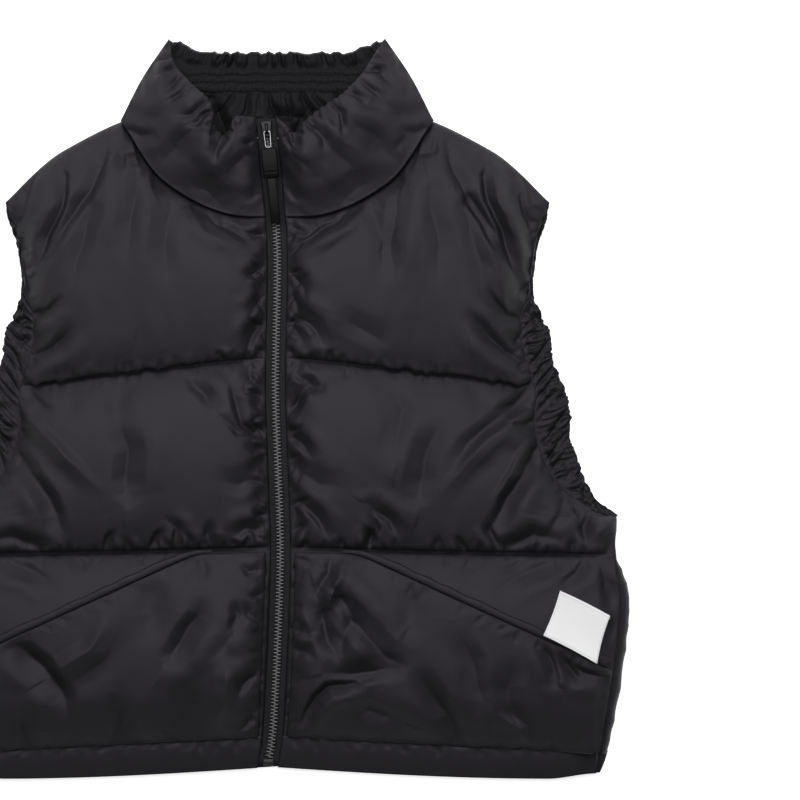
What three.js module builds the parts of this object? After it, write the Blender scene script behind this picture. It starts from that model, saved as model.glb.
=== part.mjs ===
// A quilted puffer vest, zipped up and laid on its back on a flat surface. Sizes are in millimetres.
// +X is to the right seen from above, the wearer's left. +Y runs from hem to collar, +Z up from the surface.
// Each half is worked out on its own side, with x counted from the middle, and then placed by its side sign.
import * as THREE from "three";

// Driving sizes of the laid-out vest.
const HALF_LENGTH = 345; // from the middle of the vest to the hem's lowest edge and to the collar's top corners
const SEAM_GAP = 0.5; // between pieces that are sewn together
const TAPE_HALF = 9.6; // zip axis to the edge of a front panel
const CHAIN_HALF = 3.7; // half the width of the closed zip chain
const BACK_THICK = 16; // padded back, pressed flat by the fronts on it
const FRONT_CROWN = 27; // padded front at the middle of a quilted row
const FRONT_EDGE = 5; // padded front at the zip, side and armhole seams
const QUILT_SEAM = 7; // padded front where a quilting line holds it down
const SIDE_SEAM_LIFT = 9; // how far the padded side raises the side seam above BACK_THICK
const PATCH_THICK = 2.4; // shell and light fill of a patch pocket
const BAND_THICK = 2.2; // elasticated armhole binding
const COLLAR_CROWN = 29;
const COLLAR_BACK_THICK = 15;

const { clamp, lerp, smoothstep } = THREE.MathUtils;
const point = (x, y, z = 0) => new THREE.Vector3(x, y, z);
const bell = (t) => Math.exp(-t * t);
const falloff = (t) => (t >= 1 ? 0 : (1 - t) ** 2 * (1 + 2 * t));
const steps = (count) => Array.from({ length: count + 1 }, (_, i) => i / count);

// Steps from 0 to 1 that lie closer together near both ends.
const edgeSteps = (count, pull = 0.06) => steps(count).map((t) => t - pull * Math.sin(2 * Math.PI * t));

// x as a smooth function of y, from a table whose rows go up in y.
function profile(rows) {
  const cubic = new THREE.CubicInterpolant(rows.map((r) => r.y), rows.map((r) => r.x), 1, [0]);
  return (y) => cubic.evaluate(clamp(y, rows[0].y, rows.at(-1).y))[0];
}

const curveOf = (rows) =>
  new THREE.CatmullRomCurve3(rows.map((r) => point(r.x, r.y)), false, "centripetal");

// The zip isn't quite straight: its axis wanders a few millimetres, and leans in the collar.
const zipX = profile([
  { y: -345, x: -11 }, { y: -307, x: -4.8 }, { y: -270, x: -2.1 }, { y: -195, x: 1.4 }, { y: -130, x: 3 },
  { y: -50, x: 0.6 }, { y: 18, x: -1.6 }, { y: 150, x: 0 }, { y: 210, x: -4.6 }, { y: 272, x: -10.5 },
]);
const zipEdge = (side, y) => side * zipX(y) + TAPE_HALF;

// Heights of the horizontal lines at a distance x from the middle.
const hemEdge = (x) => -HALF_LENGTH + 11 - 11 * Math.sin((clamp(x / 260, 0, 1) * Math.PI) / 2);
const hemStitch = (x) => -306.5 - 0.05 * x;
const pocketSeam = (x) => -128 - 8 * Math.max(x / 314, 0) ** 0.7;
const quiltLine = (x) => 48 - 27 * Math.max(x / 241, 0) ** 1.25;

// The slanted pocket mouth leaves the seam above it at MOUTH_START and falls to the side seam.
const MOUTH_START = 75;
const MOUTH_SLOPE = 0.436;
const pocketMouth = (x) =>
  pocketSeam(x) - 3.5 - MOUTH_SLOPE * Math.log1p(Math.exp((x - MOUTH_START) / 5)) * 5;

// Side seam, as the front panel's edge, and the padded outline a little outside it.
const sideSeam = profile([
  { y: -345, x: 297 }, { y: -321, x: 299.5 }, { y: -304, x: 302.3 }, { y: -270, x: 307.8 }, { y: -222, x: 315 },
  { y: -177, x: 318.5 }, { y: -136, x: 313.8 }, { y: -101, x: 316 },
]);
const outline = profile([
  { y: -345, x: 300 }, { y: -329, x: 306.9 }, { y: -289, x: 317 }, { y: -252, x: 323.6 }, { y: -215, x: 328.3 },
  { y: -191, x: 330.2 }, { y: -168, x: 329.2 }, { y: -150, x: 323.6 }, { y: -136, x: 318.4 }, { y: -101, x: 319 },
]);

// Armhole seam of front and back, below and above the quilting line that ends on it.
const armholeLower = curveOf([
  { x: 316, y: -101 }, { x: 300, y: -98 }, { x: 282, y: -86 }, { x: 263, y: -69 }, { x: 252, y: -53 },
  { x: 244.6, y: -33 }, { x: 241, y: -16 }, { x: 241.8, y: 4 }, { x: 241, y: 21 },
]);
const armholeUpper = curveOf([
  { x: 241, y: 21 }, { x: 233.4, y: 46 }, { x: 228, y: 68 }, { x: 229, y: 85 }, { x: 232, y: 101 },
  { x: 235, y: 117 }, { x: 238, y: 137 }, { x: 241, y: 157 }, { x: 247, y: 176 }, { x: 253, y: 193 },
]);

// Free edge of the armhole's gathered binding, which is the vest's outline there.
const armholeEdge = curveOf([
  { x: 257, y: 196 }, { x: 250.5, y: 176 }, { x: 244, y: 157 }, { x: 240.5, y: 137 }, { x: 238.5, y: 115 },
  { x: 240, y: 101 }, { x: 247, y: 84 }, { x: 254, y: 70 }, { x: 257, y: 44 }, { x: 267, y: 20 },
  { x: 272, y: 0 }, { x: 272.5, y: -25 }, { x: 280, y: -49 }, { x: 288, y: -69 }, { x: 298, y: -85 },
  { x: 318, y: -99 },
]);

const NECK_POINT = { x: 146, y: 268 };
const SHOULDER_TIP = { x: 253, y: 193 };
const neckSeamRows = [
  { x: 37, y: 179.5 }, { x: 58, y: 185 }, { x: 82, y: 196 }, { x: 109, y: 215 }, { x: 124, y: 234 },
  { x: 137.5, y: 256 }, NECK_POINT,
];
const shoulderRows = [
  NECK_POINT, { x: 161, y: 261.5 }, { x: 189, y: 247 }, { x: 207.5, y: 236 }, { x: 226, y: 220.5 }, SHOULDER_TIP,
];
const BACK_NECK_DROP = 16;

// Distance from a place to a row of points.
function distanceTo(line, x, y) {
  let best = Infinity;
  for (let i = 1; i < line.length; i += 1) {
    const [a, b] = [line[i - 1], line[i]];
    const [dx, dy] = [b.x - a.x, b.y - a.y];
    const t = clamp(((x - a.x) * dx + (y - a.y) * dy) / (dx * dx + dy * dy), 0, 1);
    best = Math.min(best, Math.hypot(x - a.x - t * dx, y - a.y - t * dy));
  }
  return best;
}
const sideLine = steps(8).map((t) => point(sideSeam(lerp(-345, -101, t)), lerp(-345, -101, t)));
const armholeLine = [...armholeLower.getPoints(12), ...armholeUpper.getPoints(12)];
const shoulderLine = curveOf(shoulderRows).getPoints(8);
const hemLine = [point(0, hemStitch(0)), point(300, hemStitch(300))];

// Height of the back panel's inner face. It is level, rises to the side seams and falls to the other edges.
const SEAM_DROP = 7;
const HEM_DROP = 5;
const SEAM_REACH = 50;
function innerFace(x, y) {
  const own = Math.abs(x);
  const near = (line) => falloff(distanceTo(line, own, y) / SEAM_REACH);
  const seamDrop = SEAM_DROP * Math.max(near(armholeLine), near(shoulderLine));
  const drop = Math.max(seamDrop, HEM_DROP * near(hemLine));
  return BACK_THICK + SIDE_SEAM_LIFT * near(sideLine) - drop;
}

// Height of a front panel's inside. It touches the back at the seams and clears it a little further in.
const SLACK = 1.8;
function frontBase(x, y) {
  const fromSeams = Math.min(...[sideLine, armholeLine, shoulderLine, hemLine].map((l) => distanceTo(l, x, y)));
  return innerFace(x, y) + SEAM_GAP + SLACK * (1 - falloff(fromSeams / 9));
}

// A plan surface between four edge curves, each a function from 0 to 1.
function fillBetween(bottom, top, left, right) {
  const corners = [bottom(0), bottom(1), top(0), top(1)];
  const mix = (u, v, k) =>
    lerp(bottom(u)[k], top(u)[k], v) + lerp(left(v)[k], right(v)[k], u) -
    lerp(lerp(corners[0][k], corners[1][k], u), lerp(corners[2][k], corners[3][k], u), v);
  return (u, v) => point(mix(u, v, "x"), mix(u, v, "y"));
}

// A level line from the zip side to an outer point, and an upright edge between two heights.
const levelLine = (height, from, to) => (u) => point(lerp(from, to, u), height(lerp(from, to, u)));
const uprightLine = (xAt, low, high) => (v) => point(xAt(lerp(low, high, v)), lerp(low, high, v));
const along = (curve) => (t) => curve.getPointAt(clamp(t, 0, 1));

// Two edges in a row, of which the first ends at the share `split`.
const joined = (first, second, split) => (t) => (t < split ? first(t / split) : second((t - split) / (1 - split)));

// Shares at which a panel's rows and columns meet its corners, and the rows that front and back have in common.
const SIDE_SHARE = 0.13;
const NECK_SHARE = 0.6;
const MIDDLE_ROWS = [0, 0.05, SIDE_SHARE, 0.21, 0.3, 0.4, 0.5, 0.6, 0.7, 0.8, 0.88, 0.95];
const UPPER_ROWS = [0, 0.05, 0.13, 0.22, 0.32, 0.42, 0.52, 0.62, 0.72, 0.82, 0.91, 1];
const neckCurve = (side) => curveOf([point(zipEdge(side, 178), 178.6), ...neckSeamRows]);
const underarm = joined(
  (t) => point(lerp(sideSeam(-136), 316, t), lerp(-136, -101, t)), along(armholeLower), SIDE_SHARE);

// The main folds of a front panel: soft troughs (deep above 0) and ridges (below 0) between two places.
const FOLDS = [
  { x1: 192, y1: 217, x2: 228, y2: 112, wide: 9, deep: 7 },
  { x1: 158, y1: 236, x2: 207, y2: 156, wide: 12, deep: 3.5 },
  { x1: 228, y1: 219, x2: 241, y2: 158, wide: 8, deep: 4 },
  { x1: 197, y1: 110, x2: 229, y2: 80, wide: 8, deep: 4.5 },
  { x1: 178, y1: 89, x2: 215, y2: 50, wide: 9, deep: 4 },
  { x1: 58, y1: 181, x2: 13, y2: 152, wide: 7, deep: 4 },
  { x1: 243, y1: -36, x2: 189, y2: -108, wide: 10, deep: 7 },
  { x1: 243, y1: 0, x2: 160, y2: -70, wide: 13, deep: 4 },
  { x1: 47, y1: 40, x2: 13, y2: -8, wide: 7, deep: 4.5 },
  { x1: 22, y1: -86, x2: 51, y2: -122, wide: 8, deep: 4 },
  { x1: 43, y1: -184, x2: 52, y2: -246, wide: 11, deep: 7 },
  { x1: 48, y1: -254, x2: 14, y2: -303, wide: 8, deep: 6 },
  { x1: 54, y1: -159, x2: 84, y2: -214, wide: 9, deep: -4 },
  { x1: 84, y1: -214, x2: 118, y2: -229, wide: 9, deep: -4 },
  { x1: 136, y1: -246, x2: 164, y2: -304, wide: 12, deep: 5.5 },
  { x1: 50, y1: -136, x2: 39, y2: -174, wide: 8, deep: 4 },
  { x1: 240, y1: -212, x2: 268, y2: -262, wide: 10, deep: 4 },
];

const FOLD_ENDS = 0.55; // a fold's depth at its ends, as a share of its middle
function foldDepth(x, y) {
  let sum = 0;
  for (const f of FOLDS) {
    const [dx, dy] = [f.x2 - f.x1, f.y2 - f.y1];
    const t = ((x - f.x1) * dx + (y - f.y1) * dy) / (dx * dx + dy * dy);
    const off = Math.hypot(x - f.x1 - clamp(t, 0, 1) * dx, y - f.y1 - clamp(t, 0, 1) * dy);
    sum += f.deep * bell(off / f.wide) * lerp(FOLD_ENDS, 1, Math.sin(Math.PI * clamp(t, 0.08, 0.92)));
  }
  return sum;
}

// Small puckers where the padding is gathered onto the zip and onto the quilting lines.
const ZIP_PUCKERS = { high: 1.8, at: 14, wide: 12, pitch: 23, slant: 0.4 };
const SEAM_PUCKERS = { high: 1.2, at: 12, wide: 9, pitch: 30 };
const swellOf = (kind, distance, phase) =>
  kind.high * bell((distance - kind.at) / kind.wide) * Math.sin((2 * Math.PI * phase) / kind.pitch);
const puckers = (x, y, fromZip, fromSeam) =>
  swellOf(ZIP_PUCKERS, fromZip, y + ZIP_PUCKERS.slant * x) + swellOf(SEAM_PUCKERS, fromSeam, x);

// Padded height over the inside: held down at the seams, full between them.
const FILL = { reach: 15, roundness: 0.55, creaseShare: 1.4, least: 3.2 };
const rise = (distance, reach) => 1 - Math.exp(-((Math.max(distance, 0) / reach) ** 1.15));

function frontThickness(side, p, u, row, outerDistance) {
  const fromZip = Math.max(p.x - zipEdge(side, p.y), 0);
  const between = row.high - row.low;
  const fromSeam = Math.min(row.at - row.low, row.high - row.at);
  const arch = Math.sin(Math.PI * clamp((row.at - row.low) / between, 0, 1)) ** FILL.roundness;
  const full = rise(fromZip, FILL.reach) * rise(outerDistance, FILL.reach);
  const padded = lerp(QUILT_SEAM, FRONT_CROWN, arch) - FRONT_EDGE;
  const folds = foldDepth(p.x, p.y) * Math.min(arch * FILL.creaseShare, 1);
  const shaped = FRONT_EDGE + (padded - folds + puckers(p.x, p.y, fromZip, fromSeam)) * full;
  return Math.max(shaped, FILL.least);
}

// Closed solid from an outer and an inner grid with the same rows. A row's points run the same way in both.
function solidBetween(outer, inner) {
  const positions = [];
  const add = (a, b, c) => positions.push(...[a, b, c].flatMap((p) => [p.x, p.y, p.z]));
  const quad = (a, b, c, d) => {
    if (a.distanceTo(c) <= b.distanceTo(d)) {
      add(a, b, c);
      add(a, c, d);
    } else {
      add(a, b, d);
      add(b, c, d);
    }
  };
  const strip = (a, b) => {
    // Joins two rows of points that may differ in number.
    let [i, j] = [0, 0];
    while (i < a.length - 1 || j < b.length - 1) {
      if (j === b.length - 1 || (i < a.length - 1 && (i + 1) / (a.length - 1) <= (j + 1) / (b.length - 1))) {
        add(a[i], a[i + 1], b[j]);
        i += 1;
      } else {
        add(a[i], b[j + 1], b[j]);
        j += 1;
      }
    }
  };
  for (let r = 1; r < outer.length; r += 1) {
    const [low, high, under, above] = [outer[r - 1], outer[r], inner[r - 1], inner[r]];
    for (let c = 1; c < low.length; c += 1) quad(low[c - 1], low[c], high[c], high[c - 1]);
    for (let c = 1; c < under.length; c += 1) quad(above[c - 1], above[c], under[c], under[c - 1]);
    quad(under[0], low[0], high[0], above[0]);
    quad(low.at(-1), under.at(-1), above.at(-1), high.at(-1));
  }
  strip(inner[0], outer[0]);
  strip(outer.at(-1), inner.at(-1));
  const geometry = new THREE.BufferGeometry();
  geometry.setAttribute("position", new THREE.Float32BufferAttribute(positions, 3));
  return geometry;
}

// Places a half's grids on its side. Turning the columns round keeps the faces pointing outwards.
const placed = (side, rows) =>
  rows.map((row) => {
    const moved = row.map((p) => point(side * p.x, p.y, p.z));
    return side > 0 ? moved : moved.reverse();
  });

const vest = new THREE.Group();
vest.name = "puffer_vest";
const COLOURS = {
  shell: { color: 0x1d1c1f, roughness: 0.42, metalness: 0 },
  lining: { color: 0x141416, roughness: 0.55, metalness: 0 },
  tape: { color: 0x1a1a1c, roughness: 0.8, metalness: 0 },
  chain: { color: 0x2b2b2d, roughness: 0.35, metalness: 0 },
  metal: { color: 0x2e2e32, roughness: 0.2, metalness: 0.9 },
  rubber: { color: 0x0c0c0d, roughness: 0.4, metalness: 0 },
  label: { color: 0xe9e9ec, roughness: 0.8, metalness: 0 },
};
function add(name, geometry, colours, group = vest) {
  geometry.computeVertexNormals();
  const mesh = new THREE.Mesh(geometry, new THREE.MeshStandardMaterial(COLOURS[colours]));
  mesh.name = name;
  group.add(mesh);
  return mesh;
}
const sideName = (side) => (side > 0 ? "left" : "right"); // the wearer's

// Front panels: one padded piece each side, from hem casing to neck and shoulder, quilted across.
const NECK_COLUMN = 14;
const COLUMNS = [
  ...edgeSteps(NECK_COLUMN, 0.03).map((t) => t * NECK_SHARE),
  ...edgeSteps(24 - NECK_COLUMN, 0.03).slice(1).map((t) => lerp(NECK_SHARE, 1, t)),
];
const INNER_COLUMNS = [0, 2, 5, 9, 13, 16, 18, 20, 21, 22, 23, 24];
const MOUTH_END_Y = -236;
const SEAM_END_Y = -136;

function frontPlan(side) {
  const inner = (y) => zipEdge(side, y);
  const levels = {
    hem: levelLine(hemStitch, inner(-307), sideSeam(-321)),
    mouth: levelLine(pocketMouth, inner(-132), sideSeam(MOUTH_END_Y)),
    seam: levelLine(pocketSeam, inner(-128), sideSeam(SEAM_END_Y)),
    quilt: levelLine(quiltLine, inner(47), 241),
  };
  const edge = (low, high) => uprightLine(inner, low(0).y, high(0).y);
  const top = joined(along(neckCurve(side)), along(curveOf(shoulderRows)), NECK_SHARE);
  return [
    {
      rows: steps(9), low: hemStitch, high: pocketSeam,
      at: fillBetween(levels.hem, levels.mouth, edge(levels.hem, levels.mouth),
        uprightLine(sideSeam, levels.hem(1).y, levels.mouth(1).y)),
    },
    {
      rows: steps(5), low: hemStitch, high: pocketSeam,
      at: fillBetween(levels.mouth, levels.seam, edge(levels.mouth, levels.seam),
        uprightLine(sideSeam, levels.mouth(1).y, levels.seam(1).y)),
    },
    {
      rows: MIDDLE_ROWS,
      at: fillBetween(levels.seam, levels.quilt, edge(levels.seam, levels.quilt), underarm),
    },
    {
      rows: UPPER_ROWS,
      at: fillBetween(levels.quilt, top, edge(levels.quilt, top), along(armholeUpper)),
    },
  ];
}

// Heights of a front panel's outer and inner face at a place of its plan.
function frontPoint(side, part, u, v, extra = 0) {
  const p = part.at(u, v);
  const span = part.low ? null : part.at(u, 0).distanceTo(part.at(u, 1));
  const row = part.low
    ? { low: part.low(p.x), high: part.high(p.x), at: p.y }
    : { low: 0, high: span, at: v * span };
  const outerDistance = p.distanceTo(part.at(1, v));
  const under = frontBase(p.x, p.y);
  return { outer: point(p.x, p.y, under + frontThickness(side, p, u, row, outerDistance) + extra),
    inner: point(p.x, p.y, under) };
}

// The inner face stops just short of the neck and shoulder seams.
const INNER_TOP = 0.94;
function frontRows(side, parts, columns, key) {
  const share = (v) => (key === "inner" ? Math.min(v, INNER_TOP) : v);
  return parts.flatMap((part, i) =>
    part.rows.slice(i && i < 3 ? 1 : 0).map((v) => columns.map((u) => frontPoint(side, part, u, share(v))[key])));
}

for (const side of [1, -1]) {
  const parts = frontPlan(side);
  const outer = frontRows(side, parts, COLUMNS, "outer");
  const inner = frontRows(side, parts, INNER_COLUMNS.map((c) => COLUMNS[c]), "inner");
  add(`front_${sideName(side)}`, solidBetween(placed(side, outer), placed(side, inner)), "shell");
}

// Patch pockets: a shell laid over the lower front, from the hem stitching up to the slanted mouth.
const PATCH_LIFT = 1.1;
const PATCH_EDGE = 0.014; // share of the front's width that the patch leaves free at the zip and at the side
for (const side of [1, -1]) {
  const lower = frontPlan(side)[0];
  const columns = [PATCH_EDGE, ...COLUMNS.slice(1, -1), 1 - PATCH_EDGE];
  const rows = [PATCH_EDGE, ...lower.rows.slice(1)];
  const rowsAt = (extra) => rows.map((v) => columns.map((u) => frontPoint(side, lower, u, v, extra).outer));
  const patch = solidBetween(placed(side, rowsAt(PATCH_LIFT + PATCH_THICK)), placed(side, rowsAt(PATCH_LIFT)));
  add(`pocket_${sideName(side)}`, patch, "shell");
}

// Welts: a folded strip of shell that binds each pocket mouth, just above the patch's edge.
const WELT = { wide: 6.5, high: 3.2, lift: 1.1, gap: 0.6, firstColumn: 8 };
const weltSection = [
  { out: 0, up: 0 }, { out: 0, up: 0.7 }, { out: 0.22, up: 1 }, { out: 0.75, up: 1 }, { out: 1, up: 0.55 },
  { out: 1, up: 0 },
];
function weltPoints(side) {
  const lower = frontPlan(side)[0];
  return COLUMNS.slice(WELT.firstColumn, -1).map((u) => frontPoint(side, lower, u, 1).outer);
}
for (const side of [1, -1]) {
  const line = weltPoints(side);
  const rows = line.map((p, i) => {
    const ahead = line[Math.min(i + 1, line.length - 1)].clone().sub(line[Math.max(i - 1, 0)]);
    const out = point(-ahead.y, ahead.x).normalize();
    return weltSection.map((s) => p.clone().addScaledVector(out, WELT.gap + s.out * WELT.wide)
      .setZ(p.z + WELT.lift + s.up * WELT.high));
  });
  const outer = rows.map((row) => row.slice().reverse());
  const inner = rows.map((row) => [row.at(-1), row[0]]);
  add(`welt_${sideName(side)}`, solidBetween(placed(side, outer), placed(side, inner)), "shell");
}

// Back panel: one padded piece that also wraps up round the sides to the side seams.
const BACK_COLUMNS = [0, 0.16, 0.32, 0.47, 0.6, 0.71, 0.79, 0.86, 0.91, 0.955, 1];
const GROOVE = 4;
const backNeck = (x) => NECK_POINT.y - BACK_NECK_DROP * Math.cos((clamp(x / NECK_POINT.x, 0, 1) * Math.PI) / 2);

function backPlan() {
  const middle = (low, high) => (v) => point(0, lerp(low, high, v));
  const levels = {
    hem: levelLine(hemStitch, 0, sideSeam(-321)),
    seam: levelLine(pocketSeam, 0, sideSeam(SEAM_END_Y)),
    quilt: levelLine(quiltLine, 0, 241),
  };
  const neck = (t) => point(t * NECK_POINT.x, backNeck(t * NECK_POINT.x));
  const top = joined(neck, along(curveOf(shoulderRows)), NECK_SHARE);
  return [
    fillBetween(levels.hem, levels.seam, middle(levels.hem(0).y, levels.seam(0).y),
      uprightLine(sideSeam, levels.hem(1).y, levels.seam(1).y)),
    fillBetween(levels.seam, levels.quilt, middle(levels.seam(0).y, levels.quilt(0).y), underarm),
    fillBetween(levels.quilt, top, middle(levels.quilt(0).y, backNeck(0)), along(armholeUpper)),
  ];
}

const BACK_ROWS = [[0, 0.05, 0.18, 0.32, 0.46, 0.6, 0.74, 0.88, 0.95], MIDDLE_ROWS, UPPER_ROWS];

// The side bulges out past its seam below the armhole, and turns in to the underside.
const WRAP = {
  from: 98, to: 108, leastReach: 1.2, armholeTurn: 4, sideTurn: 13,
  outermost: 0.5, shoulderOut: 0.8, shoulderUp: 0.62, footIn: 0.3, footUp: 0.3,
};

// Half a section of the back at one row: the inner face outwards, then round the side, then the underside.
function backHalf(plan, v, groove) {
  const face = BACK_COLUMNS.map((u) => {
    const p = plan(u, v);
    return point(p.x, p.y, innerFace(p.x, p.y));
  });
  const seam = face.at(-1);
  const beside = smoothstep(-seam.y, WRAP.from, WRAP.to);
  const reach = lerp(WRAP.leastReach, Math.max(outline(seam.y) - seam.x, WRAP.leastReach), beside);
  const turn = lerp(WRAP.armholeTurn, WRAP.sideTurn, beside);
  const outermost = seam.z * WRAP.outermost;
  const round = [
    point(seam.x + reach * WRAP.shoulderOut, seam.y, lerp(outermost, seam.z, WRAP.shoulderUp)),
    point(seam.x + reach, seam.y, outermost),
    point(seam.x + reach - turn * WRAP.footIn, seam.y, outermost * WRAP.footUp),
  ];
  const lastX = seam.x + reach - turn;
  const under = BACK_COLUMNS.filter((_, i) => i !== 1).map((u) => {
    const p = plan(u, v);
    return point(p.x * (lastX / seam.x), p.y, groove);
  });
  return { face, round, under };
}

function backPanel() {
  const plans = backPlan();
  const rows = plans.flatMap((plan, i) =>
    BACK_ROWS[i].map((v) => {
      const seamRow = v === 0 || v === 1;
      return backHalf(plan, v, seamRow ? GROOVE : 0);
    }));
  const flip = (line) => line.map((p) => point(-p.x, p.y, p.z)).reverse();
  const outer = rows.map(({ face, round }) => [...flip([...face, ...round]), ...face.slice(1), ...round]);
  const inner = rows.map(({ under }) => [...flip(under), ...under.slice(1)]);
  return solidBetween(outer, inner);
}
add("back_panel", backPanel(), "shell");

// Hem casings: a turned-up channel below the hem stitching, on the back and on each front.
const HEM = { backThick: 9.5, frontThick: 9, cornerLift: 5, edgeShare: 0.35, columns: 14 };
const backHemEnd = (y) => outline(y) - 1;
function hemRows(innerEdge, outerEdge, bottom, thick) {
  const spread = [0, 0.2, 0.5, 0.8, 1];
  const swell = (t) => Math.sin(Math.PI * clamp(t, 0.12, 0.88)) ** 0.6;
  const rows = spread.map((v) => steps(HEM.columns).map((t) => {
    const own = Math.abs(lerp(innerEdge(hemStitch(0)), outerEdge(hemStitch(0)), t));
    const corner = smoothstep(own, 255, 300) * HEM.cornerLift;
    const y = lerp(hemEdge(own) + corner, hemStitch(own) - SEAM_GAP, v);
    const z = bottom + thick * lerp(HEM.edgeShare, 1, swell(v));
    return { x: lerp(innerEdge(y), outerEdge(y), t), y, z };
  }));
  return {
    outer: rows.map((row) => row.map((q) => point(q.x, q.y, q.z))),
    inner: rows.map((row) => row.map((q) => point(q.x, q.y, bottom))),
  };
}
const backHem = hemRows((y) => -backHemEnd(y), backHemEnd, 0, HEM.backThick);
add("hem_back", solidBetween(backHem.outer, backHem.inner), "shell");
for (const side of [1, -1]) {
  const hem = hemRows((y) => zipEdge(side, y), sideSeam, HEM.backThick + SEAM_GAP, HEM.frontThick);
  add(`hem_front_${sideName(side)}`, solidBetween(placed(side, hem.outer), placed(side, hem.inner)), "shell");
}

// Armhole bindings: elastic gathers the strip between the armhole seam and its free edge into waves.
// Each strip starts this far from the seam, and its underside falls from the inner to the outer height.
const BAND = { waves: 22, wave: 1.3 };
const FRONT_BAND = { start: 1.6, inner: 13.5, outer: 7.4 };
const BACK_BAND = { start: 3.4, inner: 1.6, outer: 0 };
const armholeSeam = new THREE.CurvePath();
armholeSeam.add(armholeLower);
armholeSeam.add(armholeUpper);
function bandRows(waves, strip, wave) {
  const rows = steps(waves * 2);
  const grid = rows.map((t, i) => {
    const seam = armholeSeam.getPointAt(clamp(1 - t, 0, 1));
    const free = armholeEdge.getPointAt(clamp(t, 0, 1));
    const away = free.clone().sub(seam).setZ(0);
    const start = seam.clone().addScaledVector(away.clone().normalize(), strip.start);
    const crest = i % 2 ? wave : -wave;
    return [0, 0.5, 1].map((w) => {
      const p = start.clone().lerp(free, w);
      return p.setZ(lerp(strip.inner, strip.outer, w) + crest * w);
    });
  });
  const ordered = grid.map((row) => row.slice().reverse());
  return {
    outer: ordered.map((row) => row.map((p) => point(p.x, p.y, p.z + BAND_THICK))),
    inner: ordered.map((row) => [row[0], row.at(-1)]),
  };
}
for (const side of [1, -1]) {
  const front = bandRows(BAND.waves, FRONT_BAND, BAND.wave);
  add(`armhole_front_${sideName(side)}`,
    solidBetween(placed(side, front.outer), placed(side, front.inner)), "shell");
  const back = bandRows(BAND.waves / 2, BACK_BAND, 0);
  back.outer.forEach((row, i) => row.forEach((p) => p.setZ(p.z + (i % 2 ? BAND.wave : 0))));
  add(`armhole_back_${sideName(side)}`,
    solidBetween(placed(side, back.outer), placed(side, back.inner)), "shell");
}

// Collar: two padded fronts that lie on a padded back. They meet at the side folds of the laid-out collar.
const COLLAR_CORNER = { x: 100.4, y: HALF_LENGTH };
const COLLAR_MOUTH_LIFT = 9;
const NECK_SEAM_OFF = 1.9;
const COLLAR = { lift: 1.2, edge: 6, zipReach: 13, foldReach: 12, gathers: 11, gatherHigh: 2.2 };
// Free edge of each collar front after its end at the zip: it dips beside the zip, then slants up to the side.
const COLLAR_EDGE_LEFT = [
  { x: 8, y: 265 }, { x: 17, y: 256 }, { x: 24.5, y: 266 }, { x: 45, y: 282 }, { x: 59, y: 291 },
  { x: 68, y: 299.5 }, { x: 79, y: 312 }, { x: 87, y: 324.5 }, { x: 94.5, y: 336 },
];
const COLLAR_EDGE_RIGHT = [
  { x: 39, y: 271 }, { x: 43, y: 262 }, { x: 49.5, y: 254 }, { x: 56.5, y: 261 }, { x: 58, y: 273 },
  { x: 62, y: 286 }, { x: 80, y: 303 }, { x: 95, y: 321 }, { x: 99, y: 333 },
];
function collarFrontPlan(side) {
  const finish = zipEdge(side, 271);
  const neck = neckCurve(side);
  const bottom = (t) => {
    const way = neck.getTangentAt(t);
    return neck.getPointAt(t).add(point(-way.y, way.x).multiplyScalar(NECK_SEAM_OFF));
  };
  const edgeRows = side > 0 ? COLLAR_EDGE_LEFT : COLLAR_EDGE_RIGHT;
  const top = curveOf([{ x: finish, y: 271 }, ...edgeRows, COLLAR_CORNER]);
  const fold = curveOf([bottom(1), { x: 125, y: 308.5 }, COLLAR_CORNER]);
  return fillBetween(bottom, along(top), uprightLine((y) => zipEdge(side, y), bottom(0).y, 271), along(fold));
}

function collarFrontPoint(plan, s, h) {
  const p = plan(s, h);
  const mouth = COLLAR_MOUTH_LIFT * smoothstep(h, 0.35, 0.85) * (1 - smoothstep(s, 0.55, 0.85));
  const under = BACK_THICK + COLLAR.lift + mouth;
  const arch = Math.sin(Math.PI * clamp(0.03 + 0.94 * h, 0, 1)) ** 0.5;
  const fromZip = rise(p.distanceTo(plan(0, h)), COLLAR.zipReach);
  const ends = fromZip * rise(p.distanceTo(plan(1, h)), COLLAR.foldReach);
  const gathers = COLLAR.gatherHigh * smoothstep(h, 0.55, 0.9) * Math.sin(2 * Math.PI * s * COLLAR.gathers);
  const padded = (COLLAR_CROWN - COLLAR.edge) * arch + gathers;
  return { outer: point(p.x, p.y, under + COLLAR.edge + padded * ends), inner: point(p.x, p.y, under) };
}
for (const side of [1, -1]) {
  const plan = collarFrontPlan(side);
  const grid = (columns, key) =>
    edgeSteps(10).map((h) => columns.map((s) => collarFrontPoint(plan, s, h)[key]));
  const outer = grid(edgeSteps(22), "outer");
  const inner = grid([0, 0.1, 0.3, 0.5, 0.7, 0.85, 1], "inner");
  add(`collar_front_${sideName(side)}`, solidBetween(placed(side, outer), placed(side, inner)), "shell");
}

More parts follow.
